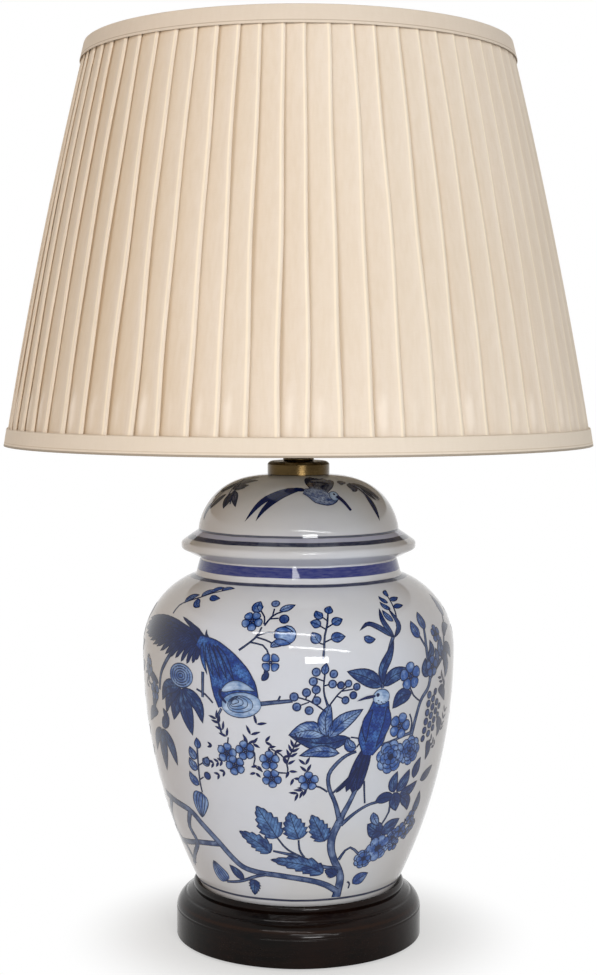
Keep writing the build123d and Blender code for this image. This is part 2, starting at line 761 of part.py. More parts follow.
# ----------------------------------------------------------------------- bulb
def make_bulb():
    """Pear-shaped frosted bulb with its screw cap, insulator and centre contact."""
    cap_z = contact_z + bulb_contact_h + bulb_insulator_h
    glass_z = cap_z + bulb_cap_h - 2.5
    top_z = contact_z + bulb_h
    ball_z = top_z - bulb_r
    with BuildPart() as glass:
        with BuildSketch(Plane.XZ):
            for shrink, mode in ((0, Mode.ADD), (bulb_glass_t, Mode.SUBTRACT)):
                with BuildLine():
                    neck_r = bulb_neck_r - 1.2 - shrink
                    throat = Line((neck_r, glass_z), (neck_r, glass_z + 4))
                    tilt = radians(28)
                    reach = bulb_r - shrink
                    ball_edge = (reach * cos(tilt), ball_z - reach * sin(tilt))
                    Bezier(
                        throat @ 1, (neck_r + 1, glass_z + 17),
                        (ball_edge[0] - 13 * sin(tilt), ball_edge[1] - 13 * cos(tilt)), ball_edge,
                    )
                    ThreePointArc(
                        ball_edge, (reach * cos(pi / 6), ball_z + reach * sin(pi / 6)),
                        (0, ball_z + reach),
                    )
                    Polyline((0, ball_z + reach), (0, glass_z), throat @ 0)
                make_face(mode=mode)
        revolve(axis=Axis.Z)
    save("bulb_glass", glass)
    with BuildPart() as cap:
        with BuildSketch(Plane.XZ):
            with BuildLine():
                Polyline(
                    (bulb_insulator_r, cap_z), (bulb_cap_r - 1, cap_z + 2.5),
                    (bulb_cap_r, cap_z + 4), (bulb_cap_r, cap_z + bulb_cap_h),
                    (bulb_cap_r - 0.4, cap_z + bulb_cap_h), (bulb_cap_r - 0.4, cap_z + 4.1),
                    (bulb_insulator_r, cap_z + 0.5), close=True,
                )
            make_face()
        revolve(axis=Axis.Z)
    save("bulb_cap", cap)
    with BuildPart() as insulator:
        with BuildSketch(Plane.XZ):
            with BuildLine():
                Polyline(
                    (0, cap_z - bulb_insulator_h), (bulb_contact_r, cap_z - bulb_insulator_h),
                    (bulb_insulator_r, cap_z), (bulb_insulator_r, cap_z + 0.5), (0, cap_z + 0.5),
                    close=True,
                )
            make_face()
        revolve(axis=Axis.Z)
    save("bulb_insulator", insulator)
    with BuildPart() as contact:
        with BuildSketch(Plane.XY.offset(contact_z)):
            Circle(bulb_contact_r)
        extrude(amount=bulb_contact_h)
        fillet(contact.edges().group_by(Axis.Z)[0], bulb_contact_h * 0.6)
    save("bulb_contact", contact)


# ---------------------------------------------------------------------- shade
def crest_r(z):
    """Radius of the pleats' crests: a cone between the rims, swollen by shade_bow."""
    rise = (z - shade_bottom_z) / shade_h
    low_r = shade_bottom_r - band_t - cloth_fit
    high_r = shade_top_r - band_t - cloth_fit
    return low_r + (high_r - low_r) * rise + 4 * shade_bow * rise * (1 - rise)


def pleat_starts():
    """Angle where each pleat begins: even steps, each a little wide or narrow as folded."""
    widths = [1 + pleat_jitter * (sin(2.4 * k) + 0.6 * sin(5.7 * k + 1)) for k in range(pleats)]
    turn = 2 * pi / sum(widths)
    angles = [0.0]
    for width in widths:
        angles.append(angles[-1] + width * turn)
    return angles


def pleat_outline(z):
    """Saw-tooth ring at one height: each pleat rises slowly to its crest and drops."""
    crest = crest_r(z)
    depth = pleat_depth * crest / crest_r(shade_bottom_z)
    tooth = ((0.0, 1.0), (pleat_crest_at * 0.5, 0.36), (pleat_crest_at, 0.0), (pleat_drop_at, 0.12))
    starts = pleat_starts()
    points = []
    for start, end in zip(starts, starts[1:]):
        for share, sunk in tooth:
            angle = start + (end - start) * share
            reach = crest - depth * sunk
            points.append((reach * cos(angle), reach * sin(angle)))
    return points


lining_gap = 0.2
cover_low_z = shade_bottom_z + band_hem + 0.1
cover_high_z = shade_top_z - 0.3


def lining_r(z, inward=0.0):
    """Radius of the lining's outer face, or of a face further in."""
    return crest_r(z) - pleat_depth - cover_t - lining_gap - inward


def side_arc(low_z, high_z, face):
    """The shade's side as one arc between two heights, at the radius that face gives."""
    mid_z = (low_z + high_z) / 2
    return ThreePointArc((face(low_z), low_z), (face(mid_z), mid_z), (face(high_z), high_z))


def side_wall(low_z, high_z, outer, inner):
    """A thin turned wall that follows the shade's side between two heights."""
    with BuildPart() as wall:
        with BuildSketch(Plane.XZ):
            with BuildLine():
                out_line = side_arc(low_z, high_z, outer)
                in_line = side_arc(low_z, high_z, inner)
                Line(out_line @ 0, in_line @ 0)
                Line(out_line @ 1, in_line @ 1)
            make_face()
        revolve(axis=Axis.Z)
    return wall


def make_cover():
    """Knife-pleated cloth: saw-tooth rings joined by ruled folds, open down the middle."""
    levels = 4
    with BuildPart() as cover:
        for level in range(levels):
            z = cover_low_z + (cover_high_z - cover_low_z) * level / (levels - 1)
            with BuildSketch(Plane.XY.offset(z)):
                with BuildLine():
                    Polyline(*pleat_outline(z), close=True)
                make_face()
        loft(ruled=True)
        with BuildSketch(Plane.XZ):
            with BuildLine():
                bore = side_arc(cover_low_z - 1, cover_high_z + 1, lambda z: lining_r(z) + lining_gap)
                Polyline(bore @ 0, (0, cover_low_z - 1), (0, cover_high_z + 1), bore @ 1)
            make_face()
        revolve(axis=Axis.Z, mode=Mode.SUBTRACT)
    save("pleated_cover", cover)


def make_lining():
    save("shade_lining", side_wall(
        cover_low_z, cover_high_z, lining_r, lambda z: lining_r(z, lining_t),
    ))


def band_face(z, out=0.0):
    return crest_r(z) + cloth_fit + out


def make_bands():
    """Cloth bands over both rims; the lower one turns under the shade's edge."""
    ring_face = lining_r(shade_bottom_z, lining_t)
    top_low = shade_top_z - band_h
    with BuildPart() as bottom_band:
        with BuildSketch(Plane.XZ):
            with BuildLine():
                high = shade_bottom_z + band_h
                Polyline(
                    (band_face(shade_bottom_z, band_t), shade_bottom_z),
                    (band_face(high, band_t), high), (band_face(high), high),
                    (band_face(shade_bottom_z + band_hem), shade_bottom_z + band_hem),
                    (ring_face, shade_bottom_z + band_hem), (ring_face, shade_bottom_z),
                    close=True,
                )
            make_face()
        revolve(axis=Axis.Z)
        rim = bottom_band.edges().filter_by(GeomType.CIRCLE).group_by(Axis.Z)[0]
        fillet(rim.sort_by(SortBy.RADIUS)[-1], band_hem * 0.6)
    save("bottom_band", bottom_band)
    save("top_band", side_wall(top_low, shade_top_z, lambda z: band_face(z, band_t), band_face))


def make_frame():
    """Wire ring in the lower rim, and the spider: top ring, arms and washer in one."""
    low_z = shade_bottom_z + band_hem + 0.2 + ring_wire_r
    low_r = lining_r(low_z, lining_t) - ring_wire_r - 0.15
    with BuildPart() as bottom_ring:
        with BuildSketch(Plane.XZ):
            with Locations((low_r, low_z)):
                Circle(ring_wire_r)
        revolve(axis=Axis.Z)
    save("bottom_ring", bottom_ring)
    high_z = shade_top_z - 0.5 - ring_wire_r
    high_r = lining_r(high_z, lining_t) - ring_wire_r - 0.3
    arm_z = shoulder_z + spider_washer_t / 2
    with BuildPart() as spider:
        with BuildSketch(Plane.XZ):
            with Locations((high_r, high_z)):
                Circle(ring_wire_r)
        revolve(axis=Axis.Z)
        with BuildLine(Plane.XZ) as arm:
            FilletPolyline(
                (spider_washer_r - 2, arm_z), (spider_shelf, arm_z), (high_r, high_z), radius=18.0,
            )
        with BuildSketch(Plane.YZ.offset(spider_washer_r - 2)):
            with Locations((0, arm_z)):
                Circle(spider_arm_r)
        arms = sweep(path=arm.wires()[0], mode=Mode.PRIVATE)
        with PolarLocations(0, spider_arms, start_angle=90):
            add(arms)
        with BuildSketch(Plane.XY.offset(shoulder_z - spider_arm_r)):
            Circle(spider_washer_r)
        extrude(amount=spider_arm_r, mode=Mode.SUBTRACT)
        with BuildSketch(Plane.XY.offset(shoulder_z)):
            Circle(spider_washer_r)
        extrude(amount=spider_washer_t)
        with BuildSketch(Plane.XY.offset(shoulder_z - 1)):
            Circle(spider_hole_r)
        extrude(amount=spider_washer_t + 4, mode=Mode.SUBTRACT)
    save("shade_spider", spider)


# --------------------------------------------------------------------- finial
def make_finial():
    """Turned brass: base on the spider's washer, reeded neck and a ball."""
    base_z = washer_top_z
    base_top = base_z + finial_base_h
    ball_low = base_top + finial_neck_h
    ball_z = ball_low + finial_ball_r * 0.86
    reach = sqrt(finial_ball_r ** 2 - (ball_z - ball_low) ** 2)
    with BuildPart() as finial:
        with BuildSketch(Plane.XZ):
            with BuildLine():
                foot = Polyline(
                    (0, base_z), (finial_base_r, base_z), (finial_base_r, base_top - 1.2),
                    (finial_base_r - 1.2, base_top), (finial_neck_r + 0.9, base_top),
                )
                waist = ThreePointArc(
                    foot @ 1, (finial_neck_r - 0.2, (base_top + ball_low) / 2), (reach, ball_low),
                )
                ThreePointArc(waist @ 1, (finial_ball_r, ball_z), (0, ball_z + finial_ball_r))
                Line((0, ball_z + finial_ball_r), foot @ 0)
            make_face()
        revolve(axis=Axis.Z)
        with BuildSketch(Plane.XY.offset(base_z)):
            Circle(stud_thread_r + finial_fit)
        extrude(amount=stud_thread_h - spider_washer_t + 1, mode=Mode.SUBTRACT)
    save("finial", finial)


make_felt()
make_stand()
make_cord_bushing()
make_fastenings()
make_floor_plug()
make_jar()
make_lid()
make_cap_and_neck()
make_saddle()
make_harp()
make_sleeves()
make_stud()
make_socket_cap()
make_socket_shell()
make_socket_block()
make_switch()
make_bulb()
make_cover()
make_lining()
make_bands()
make_frame()
make_finial()
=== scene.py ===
"""Looks of a ginger jar table lamp: painted porcelain on a turned stand, under a pleated shade.

Metres, +Z up, -Y to the front. Angles round the lamp are measured from the front, positive to
the right, and heights on porcelain are measured along its surface from the foot.
"""

import bpy
import json
import numpy as np
from math import radians
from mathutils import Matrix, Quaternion, Vector


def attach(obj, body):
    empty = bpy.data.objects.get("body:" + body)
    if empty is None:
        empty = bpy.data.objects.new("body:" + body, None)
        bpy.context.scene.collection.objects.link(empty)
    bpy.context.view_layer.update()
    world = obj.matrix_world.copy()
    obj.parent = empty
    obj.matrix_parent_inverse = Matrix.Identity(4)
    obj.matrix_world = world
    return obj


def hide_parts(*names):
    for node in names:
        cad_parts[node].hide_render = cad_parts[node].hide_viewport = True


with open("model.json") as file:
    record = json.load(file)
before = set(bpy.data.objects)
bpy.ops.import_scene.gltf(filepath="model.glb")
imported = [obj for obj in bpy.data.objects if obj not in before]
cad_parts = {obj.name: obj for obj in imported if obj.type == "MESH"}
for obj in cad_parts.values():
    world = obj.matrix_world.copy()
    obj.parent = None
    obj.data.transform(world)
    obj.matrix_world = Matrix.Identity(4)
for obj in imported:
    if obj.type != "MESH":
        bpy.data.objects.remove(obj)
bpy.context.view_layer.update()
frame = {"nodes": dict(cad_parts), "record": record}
nodes = frame["nodes"]
MM = 0.001

# ------------------------------------------------------------------ sizes, in millimetres
FOOT_R, FOOT_Z = 69.4, 37.0
BELLY_R, BELLY_Z = 108.9, 204.0
NECK_R, NECK_Z = 71.8, 255.7
MOUTH_R, MOUTH_Z = 68.6, 267.5
JAR_WALL, FOOT_RIM, LID_WALL, RING_WALL = 5.0, 6.0, 4.5, 3.2
FLOOR_Z, UNDER_Z, JAR_HOLE_R = 48.0, 42.0, 7.4
CROWN_Z, DOME_Z, DOME_R, LID_HOLE_R = 325.0, 286.4, 70.0, 6.0
FLANGE_R, FLANGE_LOW, FLANGE_HIGH = 81.8, 273.9, 278.3
RING_R, RING_Z = 62.9, 260.5
SHADE_LOW, SHADE_HIGH = 346.0, 618.0
CREST_LOW, CREST_HIGH, SHADE_BOW = 202.05, 145.65, 2.8
BAND_H, BAND_T, BAND_GAP = 12.0, 0.8, 0.15
PLEATS, PLEAT_DEPTH, PLEAT_JITTER = 66, 2.4, 0.07


# ------------------------------------------------------------------------ mesh helpers
def grid_faces(rows, cols, wrap_cols=False, wrap_rows=False):
    """Quads between neighbouring rows and columns; a wrapped side joins its last line to its first."""
    r = np.arange(rows if wrap_rows else rows - 1)[:, None]
    c = np.arange(cols if wrap_cols else cols - 1)[None, :]
    r2, c2 = (r + 1) % rows, (c + 1) % cols
    corners = (r * cols + c, r * cols + c2, r2 * cols + c2, r2 * cols + c)
    return np.stack(np.broadcast_arrays(*corners), axis=-1).reshape(-1, 4)


def make_piece(name, points, faces, values=None, normals=None, sharp=None):
    """One object from whole arrays: points (n, 3) in metres, quads (m, 4) and per-point values."""
    mesh = bpy.data.meshes.new(name)
    mesh.vertices.add(len(points))
    mesh.vertices.foreach_set("co", np.asarray(points, np.float32).ravel())
    mesh.loops.add(faces.size)
    mesh.loops.foreach_set("vertex_index", faces.astype(np.int32).ravel())
    mesh.polygons.add(len(faces))
    mesh.polygons.foreach_set("loop_start", np.arange(0, faces.size, faces.shape[1], dtype=np.int32))
    mesh.update(calc_edges=True)
    for key, value in (values or {}).items():
        layer = mesh.attributes.new(key, "FLOAT", "POINT")
        layer.data.foreach_set("value", np.asarray(value, np.float32).ravel())
    mesh.polygons.foreach_set("use_smooth", np.ones(len(faces), bool))
    if sharp:
        mesh.set_sharp_from_angle(angle=radians(sharp))
    if normals is not None:
        mesh.normals_split_custom_set_from_vertices(normals.astype(float).tolist())
    piece = bpy.data.objects.new(name, mesh)
    bpy.context.scene.collection.objects.link(piece)
    return piece


def dress(piece, material, body, stands_for=()):
    """Gives a piece its material, the body it rides on and the nodes it stands for."""
    piece.data.materials.append(material)
    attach(piece, body)
    if stands_for:
        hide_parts(*stands_for)
    return piece


FINE_STEP = 0.2           # mm between the points that corners are averaged over


def even_steps(line, step, soften=0.0):
    """A line of (radius, height) points spread evenly, its corners averaged over a short reach."""
    line = np.asarray(line, float)
    run = np.concatenate([[0], np.cumsum(np.hypot(*np.diff(line, axis=0).T))])
    fine = np.linspace(0, run[-1], int(run[-1] / FINE_STEP) + 2)
    dense = np.stack([np.interp(fine, run, line[:, k]) for k in (0, 1)], axis=1)
    if soften:
        reach = int(soften / FINE_STEP)
        window = np.hanning(2 * reach + 1)
        window /= window.sum()
        padded = np.pad(dense, ((reach, reach), (0, 0)), mode="reflect", reflect_type="odd")
        dense = np.stack([np.convolve(padded[:, k], window, "valid") for k in (0, 1)], axis=1)
    picks = np.linspace(0, len(dense) - 1, int(run[-1] / step) + 2)
    where = np.arange(len(dense))
    return np.stack([np.interp(picks, where, dense[:, k]) for k in (0, 1)], axis=1)


def turned(name, outline, segments, sharp=None):
    """Surface of revolution: each outline point (radius, height) is carried round the axis.

    The outline is a closed ring. It runs up the outside and down the inside, so that the faces
    point outwards.
    """
    outline = np.asarray(outline, float) * MM
    turn = np.linspace(0, 2 * np.pi, segments, endpoint=False)[None, :]
    radius, height = outline[:, :1], outline[:, 1:]
    points = np.stack(
        np.broadcast_arrays(radius * np.sin(turn), -radius * np.cos(turn), height), axis=-1
    ).reshape(-1, 3)
    faces = grid_faces(len(outline), segments, wrap_cols=True, wrap_rows=True)
    return make_piece(name, points, faces, sharp=sharp)


# -------------------------------------------------------------------- porcelain outlines
def arc_radius(across, up):
    """Radius of the arc that leaves an upright tangent and moves across by one over up."""
    return (across**2 + up**2) / (2 * across)


def body_outline(inset=0.0):
    """The jar's side: a large arc from foot to belly, a small one to the neck, then the neck."""
    low = np.linspace(FOOT_Z, BELLY_Z, 160)
    flank = arc_radius(BELLY_R - FOOT_R, BELLY_Z - FOOT_Z)
    low_r = BELLY_R - flank + np.sqrt(flank**2 - (low - BELLY_Z) ** 2)
    bend = arc_radius(BELLY_R - NECK_R, NECK_Z - BELLY_Z)
    tilt = np.linspace(0, np.arcsin((NECK_Z - BELLY_Z) / bend), 90)[1:]
    high_r = BELLY_R - bend + bend * np.cos(tilt)
    high = BELLY_Z + bend * np.sin(tilt)
    side = np.stack([np.concatenate([low_r, high_r]), np.concatenate([low, high])], axis=1)
    side = np.vstack([side, [[MOUTH_R, MOUTH_Z]]])
    return side - [inset, 0.0]


SQUARE_OUT, SQUARE_UP = 3.65, 1.6     # powers of the dome's curve, across and up


def dome_outline(radius, height, low_z, end_r):
    """Squarish dome: (r / radius) ** SQUARE_OUT + (z / height) ** SQUARE_UP = 1, from its side in."""
    across = np.linspace(1, (end_r / radius) ** (SQUARE_OUT / 2), 120)
    share = across ** (2 / SQUARE_OUT)
    rise = (1 - across**2) ** (1 / SQUARE_UP)
    return np.stack([radius * share, low_z + height * rise], axis=1)


body_side = even_steps(body_outline(), 1.9, soften=2.4)
dome_side = even_steps(dome_outline(DOME_R, CROWN_Z - DOME_Z, DOME_Z, LID_HOLE_R), 0.8)


class Glaze:
    """A glazed side that paint lies on: places by angle in degrees and distance up the side in mm."""

    def __init__(self, side):
        self.side = side
        step = np.diff(side, axis=0)
        self.run = np.concatenate([[0], np.cumsum(np.hypot(step[:, 0], step[:, 1]))])
        slope = np.gradient(side, self.run, axis=0)
        slope /= np.hypot(slope[:, 0], slope[:, 1])[:, None]
        self.out = np.stack([slope[:, 1], -slope[:, 0]], axis=1)

    def radius(self, up):
        return np.interp(up, self.run, self.side[:, 0])

    def place(self, angle, up, lift):
        """Points lifted off the glaze along its normal, and the normals, for arrays of places."""
        r, z = (np.interp(up, self.run, self.side[:, k]) for k in (0, 1))
        out_r, out_z = (np.interp(up, self.run, self.out[:, k]) for k in (0, 1))
        sin, cos = np.sin(np.radians(angle)), np.cos(np.radians(angle))
        reach = r + lift * out_r
        points = np.stack([reach * sin, -reach * cos, z + lift * out_z], axis=-1) * MM
        return points, np.stack([out_r * sin, -out_r * cos, out_z], axis=-1)


jar_glaze, lid_glaze = Glaze(body_side), Glaze(dome_side)


# ---------------------------------------------------------------------- node materials
class Finish:
    """A node material under construction, around one principled shader."""

    def __init__(self, name):
        self.material = bpy.data.materials.new(name)
        self.material.use_nodes = True
        self.tree = self.material.node_tree
        self.shader = self.tree.nodes["Principled BSDF"]

    def node(self, kind, inputs=None, **settings):
        made = self.tree.nodes.new("ShaderNode" + kind)
        for key, value in settings.items():
            setattr(made, key, value)
        for key, value in (inputs or {}).items():
            self.feed(made.inputs[key], value)
        return made

    def feed(self, socket, value):
        """Links a socket from another node's output, or sets its number or colour."""
        if isinstance(value, bpy.types.NodeSocket):
            self.tree.links.new(value, socket)
        elif isinstance(value, str):
            socket.default_value = rgb(value)
        else:
            socket.default_value = value

    def shade(self, **sockets):
        for key, value in sockets.items():
            self.feed(self.shader.inputs[key.replace("_", " ")], value)
        return self.material

    def where(self):
        return self.node("TexCoord").outputs["Object"]

    def value(self, name):
        return self.node("Attribute", attribute_name=name).outputs["Fac"]

    def height(self):
        return self.node("SeparateXYZ", {"Vector": self.where()}).outputs["Z"]

    def aside(self):
        """How far round to the side a place lies: 0 at front and back, 1 at right and left."""
        place = self.node("SeparateXYZ", {"Vector": self.where()})
        flat = self.node("CombineXYZ", {0: place.outputs["X"], 1: place.outputs["Y"]})
        reach = self.node("VectorMath", {0: flat.outputs["Vector"]}, operation="LENGTH")
        reach = self.math("MAXIMUM", reach.outputs["Value"], 0.001)
        return self.math("DIVIDE", self.math("ABSOLUTE", place.outputs["X"]), reach)

    def stretched(self, x=1.0, y=1.0, z=1.0):
        return self.node("Mapping", {"Vector": self.where(), "Scale": (x, y, z)}).outputs["Vector"]

    def noise(self, scale, detail=3.0, rough=0.55, vector=None):
        made = self.node(
            "TexNoise",
            {"Vector": vector or self.where(), "Scale": scale, "Detail": detail, "Roughness": rough},
        )
        return made.outputs["Fac"]

    def math(self, operation, a, b=0.0, c=0.0):
        made = self.node("Math", operation=operation)
        for socket, value in zip(made.inputs, (a, b, c)):
            self.feed(socket, value)
        return made.outputs["Value"]

    def ramp(self, value, low, high, start=0.0, end=1.0):
        """Smooth step of a value: start below low, end above high."""
        keys = ("Value", "From Min", "From Max", "To Min", "To Max")
        inputs = dict(zip(keys, (value, low, high, start, end)))
        return self.node("MapRange", inputs, interpolation_type="SMOOTHSTEP").outputs["Result"]

    def between(self, height, low, high, edge, strength=1.0):
        """The strength where a height lies between low and high, fading over twice the edge."""
        rise = self.ramp(height, low - edge, low + edge)
        return self.math("MULTIPLY", rise, self.ramp(height, high - edge, high + edge, strength, 0.0))

    def sway(self, noise, reach):
        """A noise turned into a shift: nought on average, half the reach at most."""
        return self.math("MULTIPLY", self.math("SUBTRACT", noise, 0.5), reach)

    def mix(self, share, a, b, blend="MIX"):
        made = self.node("Mix", data_type="RGBA", blend_type=blend)
        self.feed(made.inputs[0], share)
        self.feed(made.inputs[6], a)
        self.feed(made.inputs[7], b)
        return made.outputs[2]

    def apart(self, value, centre):
        """How far a value lies from a centre, on either side."""
        return self.math("ABSOLUTE", self.math("SUBTRACT", value, centre))

    def tint(self, colour, overlay, value, low, high, end=1.0, start=0.0):
        """Mixes in a second colour, by a share that steps from start to end as the value goes low to high."""
        return self.mix(self.ramp(value, low, high, start, end), colour, overlay)

    def bump(self, height, strength, distance):
        made = self.node("Bump", {"Height": height, "Strength": strength, "Distance": distance})
        self.feed(self.shader.inputs["Normal"], made.outputs["Normal"])


def rgb(code):
    """Linear colour from a hex code in display values."""
    shown = np.array([int(code[k : k + 2], 16) for k in (0, 2, 4)]) / 255
    linear = np.where(shown <= 0.04045, shown / 12.92, ((shown + 0.055) / 1.055) ** 2.4)
    return (*linear.tolist(), 1.0)


# The second colour here is a painted reflection: the dark grey that the paint turns towards the jar's sides.
INK, SIDE_REFLECTION_GREY, BAND_BLUE = "0a1840", "24262f", "0b1a6e"
GLAZE_WHITE, GLAZE_WARM = "cfd5e1", "cdcbc6"
GLAZE_GLOSS = {"Roughness": 0.02, "IOR": 1.38}


def glazed(name, bands):
    """Porcelain glaze: cool white, warmer in slow clouds, a painted reflection warmer and darker at the
    sides, and painted rings.

    Each ring is (low, high, ink, strength), with its heights in millimetres.
    """
    f = Finish(name)
    colour = f.tint(GLAZE_WHITE, GLAZE_WARM, f.noise(7.0, 2.0), 0.35, 0.7, 0.6)
    colour = f.tint(colour, "b4bac6", f.noise(48.0, 3.0), 0.4, 0.7, 0.10)
    # painted reflection: the glaze turns warmer and darker towards the jar's sides, standing in for the room
    # seen in its gloss
    colour = f.tint(colour, "a38f76", f.aside(), 0.5, 1.0, 0.36)
    colour = f.tint(colour, "a49e92", f.noise(900.0, 1.0), 0.73, 0.78, 0.12)
    height = f.math("ADD", f.height(), f.sway(f.noise(26.0, 2.0), 0.0009))
    for low, high, ink, strength in bands:
        inside = f.between(height, low * MM, high * MM, 0.00022)
        streaks = f.noise(160.0, 4.0, vector=f.stretched(1.0, 1.0, 6.0))
        drag = f.ramp(streaks, 0.25, 0.75, strength - 0.08, strength)
        colour = f.mix(f.math("MULTIPLY", inside, drag), colour, ink)
    f.bump(f.noise(55.0, 2.0), 0.06, 0.0006)
    return f.shade(Base_Color=colour, **GLAZE_GLOSS)


jar_finish = glazed(
    "jar_glaze",
    [(42.6, 44.3, INK, 0.95), (254.2, 255.9, INK, 0.95), (259.6, 266.5, BAND_BLUE, 1.0)],
)
lid_finish = glazed(
    "lid_glaze",
    [(286.1, 287.6, INK, 0.9), (281.2, 283.7, INK, 1.0), (283.7, 286.1, "a9aed0", 0.7)],
)


def make_porcelain():
    """Jar and lid as closed turned shells: up the outside, over the lip and down the inside."""
    inner = body_outline(JAR_WALL)
    inner = inner[inner[:, 1] > FLOOR_Z][::-1]
    inside = even_steps(inner, 5.0)
    recess = FOOT_R - FOOT_RIM
    floor = [[JAR_HOLE_R, FLOOR_Z], [JAR_HOLE_R, UNDER_Z], [recess, UNDER_Z], [recess, FOOT_Z]]
    outline = np.vstack([body_side, inside, floor])
    jar = turned("painted_jar", outline, 320, sharp=50)
    dress(jar, jar_finish, "base", ["jar_body"])
    flange = even_steps(
        [[MOUTH_R + 0.6, MOUTH_Z], [FLANGE_R, FLANGE_LOW], [FLANGE_R, FLANGE_HIGH], [DOME_R, DOME_Z]],
        0.8, soften=2.2,
    )
    under = dome_outline(DOME_R - LID_WALL, CROWN_Z - DOME_Z - LID_WALL, DOME_Z, LID_HOLE_R)
    under = even_steps(under[::-1], 4.0)
    bore = RING_R - RING_WALL
    ring = [[bore, MOUTH_Z + LID_WALL], [bore, RING_Z], [RING_R, RING_Z], [RING_R, MOUTH_Z]]
    outline = np.vstack([flange[:-1], dome_side, under, ring])
    lid = turned("domed_lid", outline, 320, sharp=42)
    dress(lid, lid_finish, "base", ["jar_lid"])


make_porcelain()


# -------------------------------------------------------------------------- brushwork
def along_knots(glaze, knots, count):
    """Evenly spaced places on a smooth line through the knots: a cubic through each four of them."""
    knots = np.asarray(knots, float)
    ends = np.vstack([2 * knots[0] - knots[1], knots, 2 * knots[-1] - knots[-2]])
    u = np.linspace(0, len(knots) - 1, 16 * len(knots))
    i = np.minimum(u.astype(int), len(knots) - 2)
    t = (u - i)[:, None]
    a, b, c, d = (ends[i + k] for k in range(4))
    fine = b + 0.5 * t * (c - a + t * (2 * a - 5 * b + 4 * c - d + t * (3 * (b - c) + d - a)))
    wide = np.radians(1) * glaze.radius(fine[:, 1])
    run = np.hypot(np.diff(fine[:, 0]) * (wide[1:] + wide[:-1]) / 2, np.diff(fine[:, 1]))
    run = np.concatenate([[0], np.cumsum(run)])
    share = np.linspace(0, run[-1], count)
    return np.stack([np.interp(share, run, fine[:, k]) for k in (0, 1)], axis=1), share


# Half width of a stroke as a share of its widest, for a share t of its length.
SHAPES = {
    "leaf": lambda t: np.sin(np.pi * t**0.8) ** 0.85,
    "toothed": lambda t: np.sin(np.pi * t**0.66) ** 0.7 * (1 - 0.30 * np.mod(-5.6 * t, 1.0)),
    "petal": lambda t: np.minimum((0.22 + t) * 1.25, 1) * np.sqrt(np.clip(1 - t**3.5, 0, 1)),
    "round": lambda t: np.sqrt(np.clip(1 - (2 * t - 1) ** 2, 0, 1)),
    "bud": lambda t: np.sin(np.pi * t**0.62) ** 0.7,
    "blade": lambda t: np.clip(t * 5, 0.35, 1) * (1 - t) ** 0.55,
    "plume": lambda t: np.clip(0.45 + t * 1.4, 0, 1) * np.sqrt(np.clip(1 - t**5, 0, 1)),
}


class Brush:
    """Strokes of one paint. Each is a small grid on the glaze: rows along its line, columns across.

    A point lies at its line's place plus the line's left normal times the half width there.
    The values that the paint reads are the distances in mm to the outline (rim), across and
    along the stroke (across, run), and the stroke's own tone. Each stroke lies a hair higher
    than the one before, so that strokes that cross never share a surface.
    """

    LAYER, LAYERS = 0.002, 30      # mm between strokes, and how many before the lift starts again
    TURNS = (0.0, 180.0)           # each stroke is laid at the front and again at the back

    def __init__(self, glaze, lift):
        self.glaze, self.lift = glaze, lift
        self.grids, self.count = [], 0

    def stroke(self, knots, width, shape=None, tone=0.5, rows=9, cols=5, rise=0.0):
        line, run = along_knots(self.glaze, knots, rows)
        t = run / run[-1]
        if shape in ("round", "petal"):
            t = (1 - np.cos(np.pi * t)) / 2
            line = np.stack([np.interp(t * run[-1], run, line[:, k]) for k in (0, 1)], axis=1)
            run = t * run[-1]
        if shape:
            half = SHAPES[shape](t) * width / 2
        else:
            widths = np.atleast_1d(width)
            half = np.interp(t, np.linspace(0, 1, len(widths)), widths) / 2
        wide = np.radians(1) * self.glaze.radius(line[:, 1])
        step = np.gradient(line, axis=0) * np.stack([wide, np.ones(rows)], axis=1)
        step /= np.hypot(step[:, 0], step[:, 1])[:, None]
        side = np.linspace(1, -1, cols)[None, :]
        across = side * half[:, None]
        angle = line[:, :1] - step[:, 1:] * across / wide[:, None]
        up = line[:, 1:] + step[:, :1] * across
        rim = (1 - np.abs(side)) * half[:, None]
        if shape:
            rim = np.minimum(rim, np.minimum(run, run[-1] - run)[:, None])
        lift = self.lift + rise + self.LAYER * (self.count % self.LAYERS)
        self.count += 1
        along, tones = run[:, None] + 0 * across, tone + 0 * across
        for turn in self.TURNS:
            points, out = self.glaze.place(angle + turn, up, lift)
            self.grids.append((points, out, rim, across, along, tones))

    def strokes(self, table, shape, rows=9, cols=5):
        """One stroke for each (width, tone, knot, knot, ...) of a table."""
        for width, tone, *knots in table:
            self.stroke(knots, width, shape, tone, rows, cols)

    def finish(self, name, material):
        """Joins the strokes into one piece of the jar."""
        blocks, faces, base = [], [], 0
        for points, out, *values in self.grids:
            rows, cols = points.shape[:2]
            faces.append(grid_faces(rows, cols) + base)
            base += rows * cols
            blocks.append([points.reshape(-1, 3), out.reshape(-1, 3)] + [v.ravel() for v in values])
        points, out, rim, across, run, tone = (np.concatenate(part) for part in zip(*blocks))
        piece = make_piece(
            name, points, np.concatenate(faces),
            values={"rim": rim, "across": across, "run": run, "tone": tone}, normals=out,
        )
        dress(piece, material, "base")


DRY_BRUSH = 1.3           # how much the wash thins and thickens along a stroke


